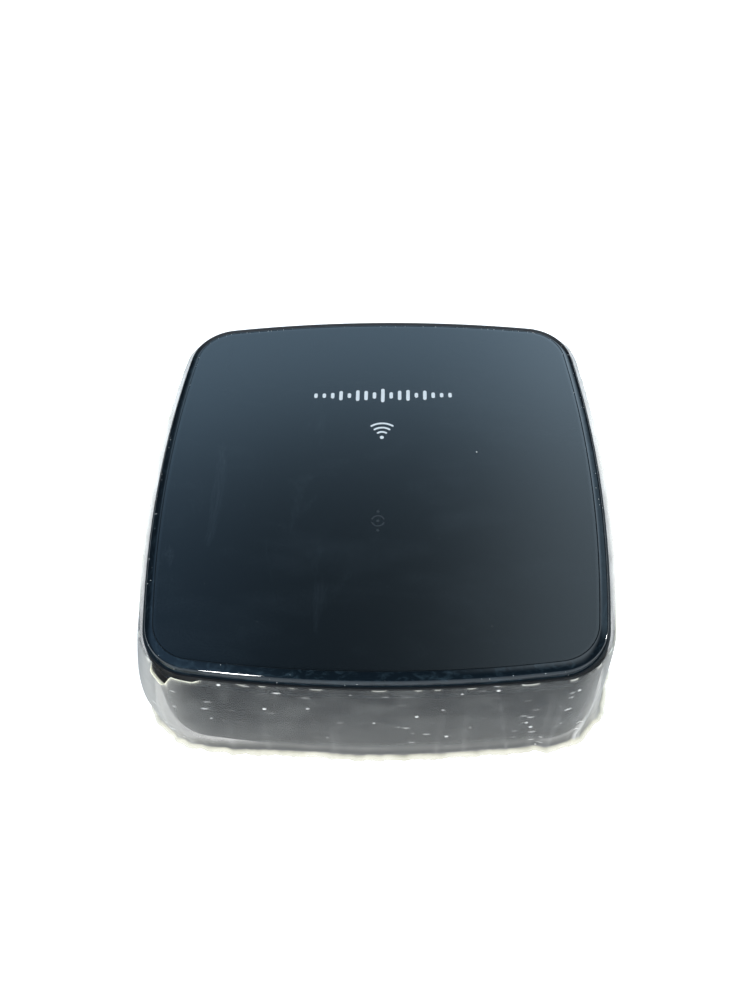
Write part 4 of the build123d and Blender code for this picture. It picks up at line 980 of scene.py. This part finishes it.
def studio_light():
    """A soft surround: a bright wall behind and to the right, a dim ceiling, and a soft front."""
    world = bpy.data.worlds.new("studio")
    bpy.context.scene.world = world
    world.use_nodes = True
    tree = world.node_tree
    tree.nodes.clear()
    output = tree.nodes.new("ShaderNodeOutputWorld")
    back = tree.nodes.new("ShaderNodeBackground")
    split = tree.nodes.new("ShaderNodeSeparateXYZ")
    tree.links.new(tree.nodes.new("ShaderNodeTexCoord").outputs["Generated"], split.inputs["Vector"])

    def step(axis, low, high, rising):
        node = tree.nodes.new("ShaderNodeMapRange")
        node.interpolation_type = "SMOOTHSTEP"
        tree.links.new(split.outputs[axis], node.inputs["Value"])
        limits = {"From Min": low, "From Max": high, "To Min": 1 - rising, "To Max": rising}
        for key, value in limits.items():
            node.inputs[key].default_value = value
        return node.outputs["Result"]

    def product(first, second):
        node = tree.nodes.new("ShaderNodeMath")
        node.operation = "MULTIPLY"
        tree.links.new(first, node.inputs[0])
        tree.links.new(second, node.inputs[1])
        return node.outputs[0]

    total = tree.nodes.new("ShaderNodeRGB").outputs[0]
    total.default_value = (*ROOM_DARK, 1.0)
    for colour, edges in ROOM_GLOW:
        share = None
        for axis, (low, full, fade, gone) in edges.items():
            part = product(step(axis, low, full, 1.0), step(axis, fade, gone, 0.0))
            share = part if share is None else product(share, part)
        blend = tree.nodes.new("ShaderNodeMix")
        blend.data_type = "RGBA"
        blend.blend_type = "ADD"
        tree.links.new(share, blend.inputs[0])
        tree.links.new(total, blend.inputs[6])
        blend.inputs[7].default_value = (*colour, 1.0)
        total = blend.outputs[2]
    seen = tree.nodes.new("ShaderNodeMix")
    seen.data_type = "RGBA"
    tree.links.new(tree.nodes.new("ShaderNodeLightPath").outputs["Is Camera Ray"], seen.inputs[0])
    tree.links.new(total, seen.inputs[6])
    seen.inputs[7].default_value = (*BACKDROP, 1.0)
    tree.links.new(seen.outputs[2], back.inputs["Color"])
    tree.links.new(back.outputs["Background"], output.inputs["Surface"])


GLOSSY = ("gloss_rim",)
PALE = ("protective_film", "sound_bar_mark", "network_mark", "pairing_mark", "dust_flakes")

# (name, direction, distance, (width, height), watts, the point it faces, the pieces it lights).
LAMPS = (
    ("left_glint", (-0.322, -0.865, 0.385), 0.8, (0.065, 0.50), 22.0, (-0.026, -0.0415, 0.0273), GLOSSY),
    ("right_glint", (0.95, 0.17, 0.25), 0.8, (0.06, 0.06), 4.0, (0.040, -0.034, 0.0273), GLOSSY),
    ("soft_front", (-0.05, -0.93, 0.36), 0.9, (1.4, 0.4), 15.0, (0.0, -0.043, 0.014), PALE),
)


def lamp(name, towards, distance, size, watts, target, lit):
    """A rectangular lamp that lights only the pieces in lit."""
    data = bpy.data.lights.new(name, "AREA")
    data.shape = "RECTANGLE"
    data.size, data.size_y = size
    data.energy = watts
    piece = bpy.data.objects.new(name, data)
    bpy.context.scene.collection.objects.link(piece)
    direction = Vector(towards).normalized()
    piece.location = Vector(target) + direction * distance
    piece.rotation_euler = direction.to_track_quat("Z", "Y").to_euler()
    receivers = bpy.data.collections.new(name + "_receivers")
    for piece_name in lit:
        receivers.objects.link(bpy.data.objects[piece_name])
    piece.light_linking.receiver_collection = receivers


CAMERA_LENS = 33.53
CAMERA_SENSOR = 36.0
CAMERA_YAW, CAMERA_PITCH, CAMERA_ROLL = 0.0582, 0.9549, -0.0482
CAMERA_PLACE = (5.42 * MM, -106.57 * MM, 170.94 * MM)


def camera():
    """The camera stands in front, a little right of centre, looking down at about 55 degrees."""
    data = bpy.data.cameras.new("camera")
    data.sensor_fit = "AUTO"
    data.sensor_width = CAMERA_SENSOR
    data.lens = CAMERA_LENS
    data.clip_start = 0.01
    piece = bpy.data.objects.new("camera", data)
    bpy.context.scene.collection.objects.link(piece)
    ahead = Vector((-math.sin(CAMERA_YAW), math.cos(CAMERA_YAW), 0.0))
    forward = ahead * math.cos(CAMERA_PITCH) - Vector((0.0, 0.0, math.sin(CAMERA_PITCH)))
    level = Vector((math.cos(CAMERA_YAW), math.sin(CAMERA_YAW), 0.0))
    upward = level.cross(forward)
    right = level * math.cos(CAMERA_ROLL) + upward * math.sin(CAMERA_ROLL)
    up = upward * math.cos(CAMERA_ROLL) - level * math.sin(CAMERA_ROLL)
    turn = Matrix((right, up, -forward)).transposed()
    piece.matrix_world = Matrix.Translation(CAMERA_PLACE) @ turn.to_4x4()
    bpy.context.scene.camera = piece


def main():
    cad_materials()
    light_ink = ink("print_light_grey", (0.80, 0.80, 0.78))
    dim_ink = ink("print_dead_front", (0.0022, 0.0035, 0.0050), 0.45)
    top_panel(panel_material())
    rim_bezel(rim_material())
    printed_marks(light_ink, dim_ink)
    dust(ink("dust_white", (0.82, 0.83, 0.80), 0.7))
    film_sleeve(film_material())
    connector_signs(light_ink)
    floor()
    studio_light()
    for row in LAMPS:
        lamp(*row)
    camera()
    bpy.context.scene.view_settings.view_transform = "Standard"


main()
